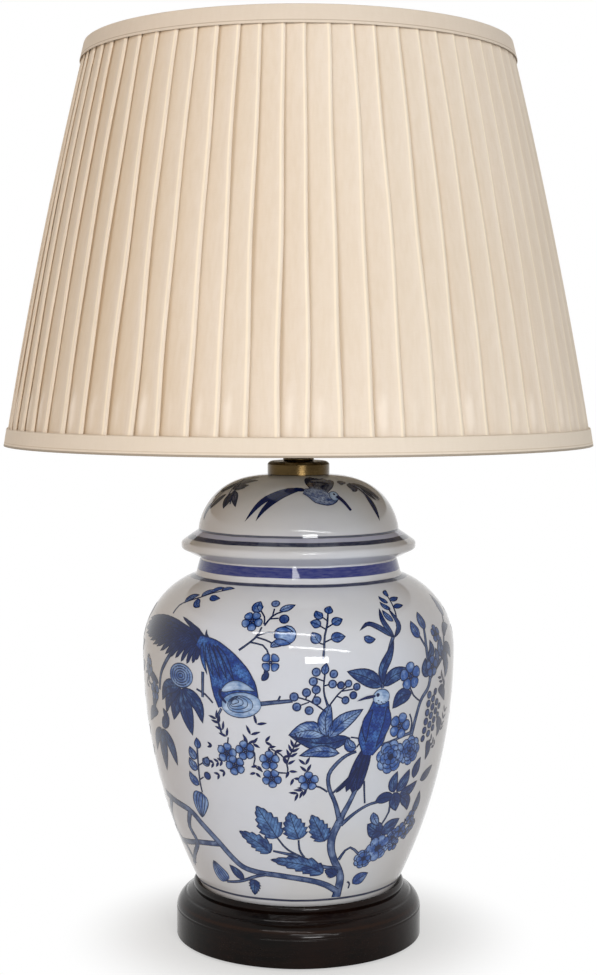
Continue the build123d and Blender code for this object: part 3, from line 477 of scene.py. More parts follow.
def paint(name, inside, deep, outline, streak=0.9, vein=None, scales=None, core=None, eye=None):
    """Underglaze blue: a dark outline, a wash that pools and drags, and the stroke's own markings.

    streak is how strongly the wash pools, vein the spacing of side veins in mm, scales the size of
    feather scallops, and core the reach in mm of the dark that bleeds from the stroke's start; eye
    is how far in a dark dot lies.
    """
    f = Finish(name)
    rim, across, run, tone = (f.value(key) for key in ("rim", "across", "run", "tone"))
    fine = f.noise(700.0, 4.0)
    wash = f.ramp(f.noise(150.0, 3.0), 0.3, 0.72)
    along, start = f.math("MULTIPLY", run, 0.16), f.math("MULTIPLY", tone, 9.0)
    lay = f.node("CombineXYZ", {0: across, 1: along, 2: start})
    drag = f.noise(0.95, 3.0, vector=lay.outputs["Vector"])
    share = f.math("ADD", f.math("MULTIPLY", wash, streak), f.math("SUBTRACT", tone, 0.25))
    for grain, reach in ((fine, 0.5), (drag, DRY_BRUSH)):
        share = f.math("ADD", share, f.sway(grain, reach))
    colour = f.mix(f.math("MINIMUM", f.math("MAXIMUM", share, 0.0), 1.0), inside, deep)
    if core:
        bleed = f.math("ADD", run, f.sway(drag, 5.0))
        colour = f.tint(colour, deep, bleed, 0.4 * core, core, 0.0, 0.95)
    if eye:
        colour = f.tint(colour, deep, rim, eye, eye + 0.5, 0.75)
    flat = f.math("ABSOLUTE", across)
    if vein:
        rib = f.ramp(flat, 0.16, 0.45, 1.0, 0.0)
        slope = f.math("SUBTRACT", run, f.math("MULTIPLY", flat, 1.1))
        side = f.ramp(f.math("PINGPONG", slope, vein / 2), 0.0, 0.5, 0.85, 0.0)
        colour = f.mix(f.math("MAXIMUM", rib, side), colour, INK)
    if scales:
        shift = f.math("PINGPONG", across, scales / 2)
        bow = f.math("MULTIPLY", f.math("MULTIPLY", shift, shift), 2.2 / scales)
        beat = f.math("FRACT", f.math("DIVIDE", f.math("ADD", run, bow), scales))
        colour = f.tint(colour, INK, beat, 0.62, 0.95, 0.7)
    ragged = f.math("ADD", rim, f.sway(fine, 0.5))
    colour = f.tint(colour, deep, rim, outline, outline * 3.2, 0.0, 0.45)
    colour = f.tint(colour, INK, ragged, outline * 0.45, outline, 0.0, 0.96)
    # painted reflection: the paint turns greyer and darker towards the jar's sides, standing in for the dark
    # room seen in the glaze
    colour = f.tint(colour, SIDE_REFLECTION_GREY, f.aside(), 0.66, 0.96, 0.62)
    return f.shade(Base_Color=colour, **GLAZE_GLOSS)


leaf_paint = paint("leaf_blue", "a2c0e6", "21468e", 1.25, vein=2.6)
dark_leaf_paint = paint("dark_leaf_blue", "628ec8", "132e6a", 1.2, vein=3.2)
petal_paint = paint("petal_blue", "a6c3ea", "2d559e", 1.15, core=4.0)
berry_paint = paint("berry_blue", "86a6dc", "1c3878", 1.35, 0.8, eye=1.75)
stem_paint = paint("stem_blue", "7d92ba", "2a3f6e", 0.9)
plume_paint = paint("plume_blue", "2e529c", "0d1d58", 1.0, vein=1.7)
scale_paint = paint("scale_blue", "5088d4", "123484", 1.1, scales=2.6)
breast_paint = paint("breast_blue", "b8cde8", "6285b8", 0.9, 1.0)
down_paint = paint("down_blue", "a9b9d4", "3a5088", 1.0, scales=2.2)
faded_paint = paint("faded_blue", "858a9e", "2c3042", 0.9, vein=1.9)
ink_paint = paint("ink_blue", "22347a", "0c1648", 0.3, 0.5)


def brushes(glaze, *lifts):
    """A brush for each height above the glaze in mm."""
    return [Brush(glaze, lift) for lift in lifts]


def blossom(brush, heart, angle, up, reach, petals, turn, tone, width=0.95):
    """Petals set round a centre, each a rounded stroke outwards, with a dark eye."""
    wide = np.radians(1) * brush.glaze.radius(up)
    petal = width * reach * 2.9 / max(petals, 4) ** 0.62
    for k in range(petals):
        way = np.radians(turn + 360 * k / petals)
        cos, sin = np.cos(way), np.sin(way)
        start = (angle + 0.18 * reach * cos / wide, up + 0.18 * reach * sin)
        end = (angle + reach * cos / wide, up + reach * sin)
        brush.stroke([start, end], petal, "petal", tone, 7, 5)
    eye = 0.2 * reach / wide
    heart.stroke([(angle - eye, up), (angle + eye, up)], 0.4 * reach, "round", 0.9, 7, 5)


def twin_leaves(brush, knots, pairs, length, spread):
    """Narrow leaves in pairs along a line, each pair opening forwards by the spread in degrees."""
    line, _ = along_knots(brush.glaze, knots, 2 * pairs + 3)
    for k in np.linspace(0.12 * (len(line) - 1), len(line) - 2, pairs).astype(int):
        wide = np.radians(1) * brush.glaze.radius(line[k, 1])
        ahead = np.arctan2(line[k + 1, 1] - line[k, 1], (line[k + 1, 0] - line[k, 0]) * wide)
        for turn in (-spread, spread):
            way = ahead + np.radians(turn)
            tip = (line[k, 0] + length * np.cos(way) / wide, line[k, 1] + length * np.sin(way))
            brush.stroke([tuple(line[k]), tip], 2.0, "leaf", 0.8, 6, 3)


# Places on the jar are (angle, height up its side), read off the photograph.
STEM_STEP = 3.2           # mm between the points of a branch
STEMS = [  # (width or widths from start to end, place, ..., place)
    ((6.6, 5.6, 5.2, 5.8, 5.2), (20, 8.6), (20.5, 23), (19, 31), (16, 40), (14, 49), (14, 59), (16, 68),
        (17.4, 76)),
    ((4.0, 3.0, 2.8, 2.8, 2.0), (16.4, 71), (14, 84), (11.5, 94), (11, 104), (14, 112), (17.5, 117),
        (21, 119)),
    ((4.4, 3.6, 3.2), (16.8, 72), (20, 84), (22, 93)),
    ((3.4, 2.4, 2.2, 2.4), (17, 67), (22.5, 75), (28, 80), (34, 81.5), (38, 83)),
    ((2.6, 1.9, 1.9, 2.2), (18, 40), (20.5, 47), (23, 49), (25.5, 46), (28.5, 41)),
    ((5.4, 5.2, 5.0, 4.6, 4.6, 4.8), (-72, 75), (-62, 72.6), (-50.5, 69.5), (-44, 61), (-37.2, 50.5),
        (-31, 39), (-26, 32.5), (-18, 29.6), (-9.6, 28.5), (0.7, 26), (8, 23.4), (14, 19.6), (19.6, 14)),
    ((4.8, 4.2, 4.4), (-72, 39), (-60, 42), (-49.7, 45.5), (-36.4, 48.5)),
    ((4.6, 4.0, 3.6), (-51, 68), (-54.4, 56), (-51.7, 45), (-58, 34), (-66, 22)),
    ((5.4, 4.6, 4.2), (-66, 72), (-74, 56), (-72, 44), (-65.3, 36), (-62.6, 24)),
    ((1.6, 2.6, 3.0, 3.2, 3.0), (-11, 48), (-2, 45), (4, 41), (8, 37.5), (12, 35), (17.5, 33.5)),
    ((1.3, 1.7), (-9, 59), (-5, 50), (2, 43)), ((1.3, 1.6), (0, 57), (0.5, 49), (2.5, 43.5)),
    ((2.2, 2.6, 2.6), (-39, 17.5), (-33, 19), (-27.5, 21.5), (-21, 26), (-15, 28.5)),
    ((1.4, 1.2), (24.5, 21), (26, 19.2), (26, 15)),
    ((3.8, 3.4, 3.0, 3.2, 3.6, 4.0, 3.0, 2.4), (44, 118), (44.8, 124.5), (46.6, 137.5), (48.8, 148),
        (52.7, 155), (53.8, 162.5), (52.3, 174), (51.8, 183.5), (53, 196)),
    ((2.2, 1.8), (51.9, 182), (50.4, 186), (49, 191)),
    ((3.6, 3.0, 2.4, 2.0), (53.8, 161.5), (58.6, 168), (63.8, 175), (66.6, 186.5), (73.6, 199)),
    ((2.0, 2.2, 2.6), (29, 121.5), (35, 123), (40, 125.5), (45, 127)),
    ((1.4, 1.2), (42, 160), (44.5, 152), (48.5, 147)), ((1.6, 1.3), (44, 127), (44.5, 134), (43, 140)),
    ((2.0, 1.6), (38.6, 81), (39, 72), (36.6, 64)), ((1.5, 1.3), (25, 98), (25.6, 90), (26.4, 81.5)),
    ((2.0, 1.5), (21, 105), (17, 98), (12.6, 90.5)),
    ((1.6, 1.3, 1.0), (-57.5, 205), (-56, 213), (-47, 221), (-42, 226), (-35, 231)),
    ((1.6, 1.4, 1.2), (-21, 186), (-17.5, 191), (-14.8, 196), (-13.5, 202)),
    (1.2, (-14.8, 196), (-11, 198.5), (-7, 198)), (1.2, (-15, 195), (-11, 193), (-8.5, 190.5)),
    (1.2, (-17, 191.5), (-12, 189.5), (-10, 183)),
    ((1.3, 1.3, 1.1), (-12.6, 203), (-10.5, 209), (-8.5, 212), (-4, 215)),
    (1.1, (-12.8, 204), (-13, 209), (-15, 214)), (1.1, (-10, 210), (-9.6, 216)),
    (1.1, (-10.8, 208), (-7.5, 208.6)),
    ((1.7, 1.5, 1.4, 1.2), (8.4, 181), (9, 190), (9.3, 196), (10.5, 203), (11.5, 212)),
    ((1.1, 1.0), (9.1, 190.5), (7.4, 191.5)), ((1.1, 1.0), (9.2, 192), (11.6, 194)),
    ((1.1, 1.0), (10, 200.5), (8, 203)), ((1.1, 1.0), (10.2, 201.5), (12.6, 204)),
    ((1.1, 1.0), (10.9, 206.5), (9.3, 209)), ((2.4, 3.0, 3.2), (-2, 154.4), (-8, 153.2), (-14, 151.6)),
    ((1.6, 1.2), (-7, 154), (-6.2, 157.5)), ((2.0, 1.8, 1.5), (-27.6, 147), (-29.3, 140), (-28, 130)),
    ((2.6, 2.2), (-35, 170), (-35.3, 153)),
    ((3.4, 3.2, 2.6), (-50, 181), (-54.5, 172), (-58, 163), (-59.5, 152)),
    ((1.5, 1.3), (-38, 158), (-34, 155), (-31, 150)),
    ((1.7, 1.4, 1.3), (-39.5, 120), (-40, 107), (-40.5, 94), (-40.2, 86)),
    (1.0, (-40.2, 105), (-37.4, 108)), (1.0, (-40.5, 95), (-38.2, 97.5)),
    ((1.2, 1.0), (-19.5, 128), (-15.6, 118), (-16.2, 110), (-13, 106)),
    ((1.0, 1.2), (-25.5, 128), (-26, 122)),
    ((1.1, 1.1, 1.2), (0.5, 132), (-2, 122), (-4.2, 112), (-3.6, 106), (-8, 106)),
    ((1.1, 1.0), (-9.6, 122), (-6, 118), (-4, 113)), ((1.2, 1.4), (4.6, 97), (8, 95.5), (10.8, 92)),
    ((1.3, 1.1, 1.4, 2.0), (9, 172), (8.6, 165), (8.8, 158), (10.2, 150)),
    (1.0, (8.7, 167), (5.4, 169.5)), (1.0, (8.8, 164), (11, 165)),
    ((1.0, 1.1, 1.2), (17, 163), (14, 159), (10.6, 151)), (1.0, (14.8, 160), (19, 161)),
    (1.0, (13, 157), (16, 154.6)), ((1.0, 1.2), (-1, 157), (4, 154), (9.4, 147)),
    (1.0, (2.4, 155), (3, 159)), (1.0, (4.4, 153), (6.2, 160)), (0.9, (3.6, 153.5), (0, 151)),
    ((1.2, 1.1), (21, 122), (22.6, 127), (18.6, 129)),
    ((2.6, 3.4, 3.8, 3.0, 2.8), (30.2, 160), (30, 170), (32, 178), (34, 187), (36.4, 194)),
    ((1.4, 1.2, 1.0), (38.8, 199), (41, 209), (42.5, 224)),
]

LEAVES = [  # (width, tone, base, ..., tip), veined
    (12.5, 0.45, (9.4, 131), (4, 135), (-3.6, 131.5)), (10.5, 0.5, (9.8, 130), (9.2, 141), (11, 152.5)),
    (11.0, 0.4, (10.4, 129), (15, 139), (23, 147.5)), (8.6, 0.45, (14.8, 118.5), (7, 120.5), (0, 117.5)),
    (8.0, 0.7, (21, 121.5), (18.4, 123), (17, 129)), (5.6, 0.5, (8.6, 171), (9.1, 175), (9.6, 179)),
    (8.0, 0.3, (7.4, 191.4), (6.4, 194), (4.8, 199)), (7.4, 0.6, (11.4, 193.6), (13.6, 195), (17, 195.4)),
    (7.0, 0.4, (8.2, 202.6), (6.6, 204.6), (4.2, 206)),
    (6.6, 0.6, (12.4, 203.8), (14.4, 206), (17, 207.6)),
    (6.6, 0.5, (9.4, 208.6), (7.6, 211), (6.8, 214.6)), (6.2, 0.6, (11.4, 211.4), (12, 214.4), (13, 218)),
    (6.4, 0.7, (-54, 214), (-53.4, 219), (-48.6, 223)),
    (5.6, 0.7, (-47, 221.6), (-45.6, 226), (-41, 229.6)),
    (5.6, 0.7, (-42.6, 226), (-42, 230), (-38, 233)), (4.6, 0.7, (-38.4, 229), (-36.6, 232), (-32, 233)),
    (6.0, 0.7, (-48, 219.6), (-46, 214.6), (-43.4, 213)),
    (5.6, 0.7, (-41.6, 224), (-39, 221.4), (-35.6, 222)),
    (5.6, 0.35, (-7.6, 214), (-3.4, 217.6), (-1, 219.4)),
    (4.8, 0.5, (-9.8, 188.6), (-8, 191), (-4.8, 190.6)),
    (8.4, 0.45, (-15.2, 212.6), (-16.8, 217), (-16, 222)),
    (7.6, 0.6, (-40.4, 109.6), (-42.4, 113), (-43.4, 118)),
    (6.4, 0.8, (-39.4, 117), (-39.2, 121), (-39.4, 125)),
    (7.6, 0.6, (-40.6, 102), (-43.2, 105.4), (-44.4, 110)),
    (7.4, 0.7, (-41, 91), (-44.2, 95), (-45.4, 100)),
    (7.0, 0.5, (-37.6, 106.6), (-35.6, 109.6), (-35, 113)),
    (10.4, 0.85, (27.6, 18.6), (31.4, 22.6), (35.6, 26)), (6.6, 0.35, (31, 74), (31.6, 70), (35, 62.5)),
    (5.6, 0.8, (23.8, 194.6), (25.6, 192.4), (28.4, 192.4)),
    (5.0, 0.6, (38.2, 203), (36, 207.4), (35, 212.4)), (4.4, 0.6, (39.6, 212), (37, 215), (36, 219)),
    (4.4, 0.6, (40, 217), (38, 220.6), (37.4, 224)), (4.2, 0.6, (41.4, 213), (44.6, 214), (47.6, 214)),
    (4.2, 0.6, (41.6, 219), (45, 220), (48, 221)), (4.2, 0.6, (42.2, 222), (42.6, 226), (44.6, 229)),
    (8.6, 0.75, (49, 189.5), (47.4, 195), (46.8, 202)),
    (8.6, 0.8, (53.4, 194), (53, 200.5), (53.4, 207.5)), (8.6, 0.6, (74, 199), (76, 206.5), (75.6, 214)),
    (10.0, 0.6, (64, 174), (61.6, 180), (63.4, 187)), (9.6, 0.5, (63.6, 172), (67, 167), (66, 158)),
    (8.0, 0.7, (56.6, 166), (58.6, 174), (57.4, 181)),
]

DARK_LEAVES = [  # broad leaves in a heavier wash
    (11.0, 0.7, (18.6, 128.6), (8, 125.6), (-3.2, 131)),
    (11.5, 0.7, (30.2, 161), (24, 168), (16.5, 172.8)), (10.0, 0.7, (30.4, 161), (35, 167.6), (43, 170)),
    (11.0, 0.85, (43.5, 153.6), (38.6, 152.6), (34.6, 145.4)),
    (10.0, 0.8, (-46, 158), (-52.6, 149), (-55.6, 137)),
    (13.0, 0.85, (-45.6, 157), (-49, 145), (-51, 133.5)),
    (13.0, 0.75, (-45, 157), (-43.6, 143), (-41.1, 125.4)),
    (10.4, 0.8, (-44.6, 157), (-38, 148), (-35.8, 135)), (10.6, 0.75, (-46, 158), (-54, 155), (-58, 145)),
    (12.0, 0.8, (-60, 125), (-61.6, 110), (-62.4, 94)),
    (10.0, 0.7, (-59.6, 125), (-55, 115), (-52.4, 101)), (8.6, 0.7, (-61, 125), (-67, 116), (-70, 106)),
    (9.0, 0.7, (-60, 126), (-56, 133), (-58, 140)), (7.6, 0.85, (-27.6, 21.6), (-30.4, 27), (-34, 33)),
    (12.4, 0.8, (37.6, 56), (34, 59.6), (29, 65.6)), (11.0, 0.85, (37, 56), (41, 60), (46.6, 65)),
    (9.0, 0.8, (37, 58), (35, 54), (35.4, 49)), (8.4, 0.8, (31, 82), (36, 83.6), (41, 82)),
    (11.0, 0.8, (39.6, 86), (41.4, 79), (43, 71.4)), (8.6, 0.8, (40, 86), (38.6, 93), (40, 101.4)),
    (9.6, 0.75, (41, 86), (44.4, 92.5), (46.6, 101)), (8.6, 0.8, (43, 84), (48.4, 85), (53, 90.6)),
    (9.0, 0.8, (44, 82), (48.4, 77), (50.4, 69.6)), (8.6, 0.85, (50, 93), (50.6, 100), (52.4, 107.6)),
    (7.6, 0.85, (55, 90), (59.4, 93), (64, 98)), (7.0, 0.85, (55, 118), (57, 112), (56, 104)),
    (8.0, 0.7, (53.4, 163.4), (50.4, 168), (50.6, 176)), (7.6, 0.7, (52, 174), (55, 179), (54.6, 187)),
    (4.6, 0.9, (-12.6, 167), (-11, 171), (-11.6, 175)), (9.0, 0.8, (62, 176), (66, 172), (66, 163)),
    (8.0, 0.9, (64, 180), (69, 178), (73, 170)), (9.0, 0.8, (73.6, 199), (78, 207), (77, 217)),
    (7.0, 0.8, (66, 186), (70, 192), (76, 192)), (8.0, 0.9, (61, 132), (64, 126), (63, 118)),
    (8.0, 0.8, (60, 152), (64, 150), (67, 142)), (8.4, 0.85, (55, 64), (57, 72), (57, 82)),
    (8.0, 0.9, (52, 50), (56, 53), (60, 60)), (8.0, 0.85, (-61, 150), (-65, 143), (-66, 134)),
    (7.0, 0.85, (-60, 156), (-66, 160), (-71, 166)), (8.6, 0.85, (-62, 136), (-68, 134), (-73, 126)),
]

TOOTHED = [  # broad leaves with cut edges
    (19.0, 0.3, (-8.6, 58), (-12, 68), (-16.4, 81.6)),
    (14.6, 0.35, (-12, 46.4), (-17, 53.6), (-25.2, 61.4)),
    (18.0, 0.3, (0.2, 57.4), (-1.6, 66), (-3.6, 78)), (15.6, 0.35, (11, 55.4), (8.4, 64), (5, 76)),
    (15.0, 0.4, (11.6, 30), (2, 37.6), (-12.6, 41)), (9.6, 0.85, (-21.6, 23.6), (-22.4, 17), (-23.4, 10)),
    (9.4, 0.85, (17.6, 26.6), (15.4, 30), (12, 32.6)),
]

BUDS = [  # closed flowers: (width, tone, base, ..., tip)
    (14.5, 0.25, (-40.6, 86), (-42.4, 77.6), (-43.4, 66.4)),
    (13.0, 0.25, (-38.6, 17.6), (-41.6, 24.6), (-43.6, 33.6)),
]

BERRY_SHARE = 0.87        # the painted radius as a share of the reach in these two tables
BERRIES = [  # (angle, height, reach)
    (6, 173, 3.5), (12, 171.5, 3.4), (5, 167, 3.5), (11.6, 165, 3.4), (14.5, 164, 3.1),
    (17.2, 164.8, 3.1), (20.2, 162.4, 3.1), (2.7, 159.8, 3.5), (6, 161.6, 3.5), (-1.5, 157, 3.6),
    (6.2, 154.4, 3.5), (16.2, 154, 3.2), (19, 157, 3.2), (-0.6, 150.4, 3.5), (3.6, 148, 3.5),
    (-9.5, 220, 3.5), (-5.4, 208, 4.0), (-36.2, 99, 3.4), (-35.6, 109.5, 3.3),
]

GRAPES = [  # the same, as one bunch on the right
    (53.8, 150, 3.2), (56.6, 146.6, 3.1), (53.6, 144, 3.2), (56.6, 141, 3.2), (53.2, 138, 3.2),
    (56, 135.2, 3.2), (52.8, 132, 3.2), (55.6, 129, 3.1), (52.4, 126, 3.1), (55.4, 123, 3.0),
    (59.6, 143.4, 3.0), (59.2, 137.4, 3.0), (58.6, 131.4, 3.0), (52, 120.4, 2.9), (58.4, 126, 2.9),
    (58, 151, 2.9), (62, 140, 2.7), (61.4, 134, 2.7),
]

BLOSSOMS = [  # (angle, height, petal length, petals, turn, tone)
    (-17.6, 206, 7.4, 5, 60, 0.4), (-9.5, 179, 6.6, 4, 45, 0.35), (-26.5, 117, 7.4, 5, 80, 0.3),
    (-19.2, 120, 7.0, 5, 30, 0.3), (-23.4, 109, 7.2, 5, 110, 0.35), (-10.4, 114, 7.0, 5, 90, 0.3),
    (-9.8, 101.6, 6.8, 5, 60, 0.3), (3.6, 100, 7.0, 5, 90, 0.3), (42.6, 165.5, 9.8, 5, 95, 0.6),
    (38.6, 133, 9.2, 5, 70, 0.6), (55, 169, 7.6, 5, 20, 0.7), (60, 190, 6.4, 5, 20, 0.6),
    (47, 45, 5.6, 5, 20, 0.4), (54, 51, 5.0, 5, 70, 0.4), (58, 56, 4.6, 5, 10, 0.4),
    (54.6, 63, 5.6, 5, 40, 0.6), (49, 55, 6.2, 5, 10, 0.6), (-64, 150, 7.4, 5, 20, 0.4),
    (-69, 165, 7, 5, 50, 0.4),
]

PEONIES = [  # (angle, height, reach): rings of petals, outer ones first
    (35.6, 112.4, 12.0), (45, 114.4, 10.5), (37.5, 45, 10.5), (30.6, 38.6, 8.0), (45, 50.5, 7.6),
]

BAMBOO = [  # (pairs, leaf length, spread, place, ..., place) of a twig with narrow leaves
    (4, 6.4, 140, (-30.4, 141), (-27.6, 133), (-25.6, 127)), (2, 4.4, 25, (-28, 119.6), (-33.4, 121)),
    (3, 4.6, 40, (-28.6, 111), (-33, 108.6)), (2, 4.6, 35, (-28, 104), (-31, 101)),
    (3, 7.2, 48, (-18, 125), (-16.4, 133), (-14, 140)), (2, 5.6, 40, (-16.2, 125), (-10.8, 127)),
    (6, 6.0, 140, (0.5, 133), (-2, 122), (-4.2, 110)), (3, 5.2, 42, (-10.6, 123), (-4.6, 116)),
    (2, 4.6, 60, (-15, 110), (-15.8, 104)), (2, 5.6, 55, (-3.4, 107), (-1.4, 101)),
    (2, 6.2, 38, (3, 106.6), (2.4, 112.4)), (3, 6.4, 36, (3, 95), (-0.6, 91)),
    (3, 6.0, 40, (-73, 152), (-66, 158)), (3, 5.0, 40, (62, 112), (58, 118)),
    (4, 6.0, 40, (66, 150), (62, 160)), (4, 5.4, 50, (46, 46), (52, 60)),
    (4, 7.0, 40, (-68, 175), (-72, 160)), (4, 6.0, 45, (66, 120), (69, 135)),
]

FRONDS = [  # (width, base, ..., tip) of long curling leaves
    (4.6, (36.4, 192), (33.4, 204), (34, 214)), (4.2, (36.4, 192), (40, 200), (38.6, 211), (39, 214)),
    (4.4, (36.4, 192), (33.5, 196), (30.6, 200), (26.5, 203), (22.4, 198.4)),
    (7.4, (30.4, 162), (30.2, 172), (33, 181), (36, 191)),
]


# Each bud is painted in layers: (share of the width, added tone, rows, columns, rise).
BUD_LAYERS = ((1, 0, 15, 7, 0), (0.62, 0.2, 13, 7, 0.01), (0.28, 0.5, 11, 5, 0.02))
PEONY_RINGS = ((1.0, 8), (0.74, 6), (0.5, 5), (0.3, 3))      # (share of the reach, petals)


def paint_panel():
    """The printed panel of branches, leaves, flowers and berries, laid on the front and the back."""
    stems, leaves, broad, petals, berries, spray = brushes(jar_glaze, 0.05, 0.09, 0.08, 0.12, 0.16, 0.07)
    for widths, *knots in STEMS:
        _, run = along_knots(jar_glaze, knots, 2)
        stems.stroke(knots, widths, rows=max(5, int(run[-1] / STEM_STEP)))
    leaves.strokes(LEAVES, "leaf")
    broad.strokes(DARK_LEAVES, "leaf", 11)
    broad.strokes(TOOTHED, "toothed", 30, 7)
    for width, tone, *knots in BUDS:
        for share, deeper, rows, cols, rise in BUD_LAYERS:
            petals.stroke(knots, share * width, "bud", tone + deeper, rows, cols, rise)
    for angle, up, reach in BERRIES + GRAPES:
        radius = BERRY_SHARE * reach
        tone = 0.45 + 0.3 * np.sin(angle) + 0.3 * (angle > 50)
        berries.stroke([(angle, up - radius), (angle, up + radius)], 2 * radius, "round", tone, 9, 5)
    for angle, up, reach, count, turn, tone in BLOSSOMS:
        blossom(petals, berries, angle, up, reach, count, turn, tone)
    for angle, up, reach in PEONIES:
        for ring, (share, count) in enumerate(PEONY_RINGS):
            turn, tone = 30 * ring + angle, 0.45 + 0.12 * ring
            blossom(petals, berries, angle, up, reach * share, count, turn, tone, 1.1)
    for share in (1.0, 0.8, 0.6, 0.4, 0.22):      # the round flower at the far left
        wide, tone = 6.2 * share, 0.15 if share > 0.9 else 0.3
        petals.stroke([(-45.6 - wide, 165), (-45.6 + wide, 165.4)], 17.0 * share, "round", tone, 13, 7)
    petals.stroke([(-8.8, 197), (-5, 197.4), (-0.8, 195.4)], 15.0, "petal", 0.3, 11, 7)
    petals.stroke([(-8.8, 193), (-5.6, 192), (-2.6, 191)], 5.0, "leaf", 0.8)
    petals.stroke([(-8.6, 200), (-5, 200.6), (-1.6, 199)], 4.4, "leaf", 0.7)
    for pairs, length, spread, *knots in BAMBOO:
        twin_leaves(spray, knots, pairs, length, spread)
    for width, *knots in FRONDS:
        broad.stroke(knots, width, "leaf", 0.6, 13, 5)
    stems.finish("painted_branches", stem_paint)
    leaves.finish("painted_leaves", leaf_paint)
    broad.finish("painted_broad_leaves", dark_leaf_paint)
    petals.finish("painted_petals", petal_paint)
    berries.finish("painted_berries", berry_paint)
    spray.finish("painted_bamboo", ink_paint)


def paint_large_bird():
    """Long-tailed bird on the left: fanned tail, scaled back and a pale folded breast."""
    tail, back, breast, marks = brushes(jar_glaze, 0.20, 0.26, 0.30, 0.36)
    tips = [
        (-78, 196.6), (-80, 193), (-81, 189), (-77, 186), (-73, 184.6), (-69, 183), (-65.5, 181),
        (-62, 180.6), (-58.6, 178.4), (-55, 177), (-52, 175.6), (-48.6, 176), (-45.4, 174.4),
        (-42.4, 173.6), (-39.6, 174.6), (-38, 177),
    ]
    for k, (angle, up) in enumerate(tips):
        share = k / (len(tips) - 1)
        root = (-35.4, 192.4 - 9 * share)
        middle = (0.45 * root[0] + 0.55 * angle, max(up, root[1]) + 3.4 - 2.6 * share)
        tail.stroke([root, middle, (angle, up)], 6.4 - 2.4 * share, "plume", 0.95 - 0.35 * share, 11, 5)
    tail.strokes([
        (5.0, 0.9, (-36, 193), (-43.6, 199.6), (-50, 204.4)),
        (4.6, 0.9, (-36, 192), (-41, 197), (-46, 201)),
        (3.0, 0.9, (-33.6, 191), (-35, 194.6), (-35.4, 198)),
    ], "blade", 9, 3)
    spine = [
        (-38, 190), (-34.6, 187.6), (-31, 183.6), (-27.6, 177), (-24.8, 169), (-22.6, 160), (-21.2, 151.6),
    ]
    back.stroke(spine, (8, 13, 18.5, 24.5, 30, 32, 30), None, 0.7, 24, 11)
    for k in range(5):
        root, middle = (-36 + 1.5 * k, 189.4 - 0.2 * k), (-35.4 + 2.4 * k, 181 - 0.4 * k)
        tip = (-33 + 2.7 * k, 168 - 0.8 * k)
        back.stroke([root, middle, tip], 3.8, "leaf", 0.4, 11, 5, rise=0.01)
    breast.stroke([(-27.8, 158.4), (-21.6, 163.2), (-14.4, 160)], 7.0, "leaf", 0.2, 13, 5)
    breast.stroke([(-27.5, 149.6), (-20, 150.4), (-12.7, 152)], 17.4, "round", 0.35, 17, 9)
    for share in (0.80, 0.60, 0.42, 0.24):
        heart, high = -20.2 - 3.4 * (0.8 - share), 150.2 + 3.0 * (0.8 - share)
        ring = [(heart - 6.2 * share, high - 1.2), (heart, high + 0.8), (heart + 5.8 * share, high + 0.4)]
        breast.stroke(ring, 14.6 * share, "round", 0.15 + 0.4 * share, 13, 7, rise=0.01)
    marks.stroke([(-27.6, 160), (-28, 156), (-25.6, 151)], (2.2, 1.6), None, 0.9, 7, 3)
    tail.finish("bird_tail", plume_paint)
    back.finish("bird_back", scale_paint)
    breast.finish("bird_breast", breast_paint)
    marks.finish("bird_marks", ink_paint)


def paint_perched_bird():
    """Small bird on the right branch: round head with an eye, scaled body and a long tail."""
    tail, body, head, marks = brushes(jar_glaze, 0.20, 0.26, 0.30, 0.36)
    tail.strokes([
        (8.6, 0.8, (26, 124), (23.4, 110), (20.4, 90)), (6.6, 0.8, (26.6, 124), (24.8, 110), (22.6, 91)),
        (6.0, 0.8, (25, 124), (21.6, 110), (18, 91)), (3.0, 0.8, (22, 108), (18.4, 99), (14, 91)),
    ], "plume", 13)
    spine = [(29.8, 152), (29.2, 145), (28, 136), (26.8, 128), (25.4, 116)]
    body.stroke(spine, (12.5, 17.5, 21, 20, 8), None, 0.75, 18, 9)
    body.stroke([(32.4, 148), (32.6, 136), (28.4, 120)], 6.4, "leaf", 0.95, 11, rise=0.02)
    body.stroke([(26.4, 147), (24, 137), (24.4, 124)], 6.0, "leaf", 0.95, 11, rise=0.02)
    head.stroke([(26.3, 154), (29.7, 154.4), (33.2, 153.4)], 11.0, "round", 0.2, 13, 7)
    for k in range(9):
        angle, up = 27.6 + 0.62 * k, 151 - 0.35 * k + 2.2 * np.sin(2.3 * k)
        marks.stroke([(angle, up), (angle + 0.7, up - 0.6)], 0.8, "round", 0.6, 5, 3)
    marks.stroke([(27.4, 155.4), (23.6, 154.6), (20.2, 152.8)], 2.8, "blade", 0.9, 7, 3)
    marks.stroke([(27.6, 155.8), (29, 156)], 2.6, "round", 1.0, 7, 5)
    tail.finish("perched_tail", plume_paint)
    body.finish("perched_body", scale_paint)
    head.finish("perched_head", breast_paint)
    marks.finish("perched_marks", ink_paint)


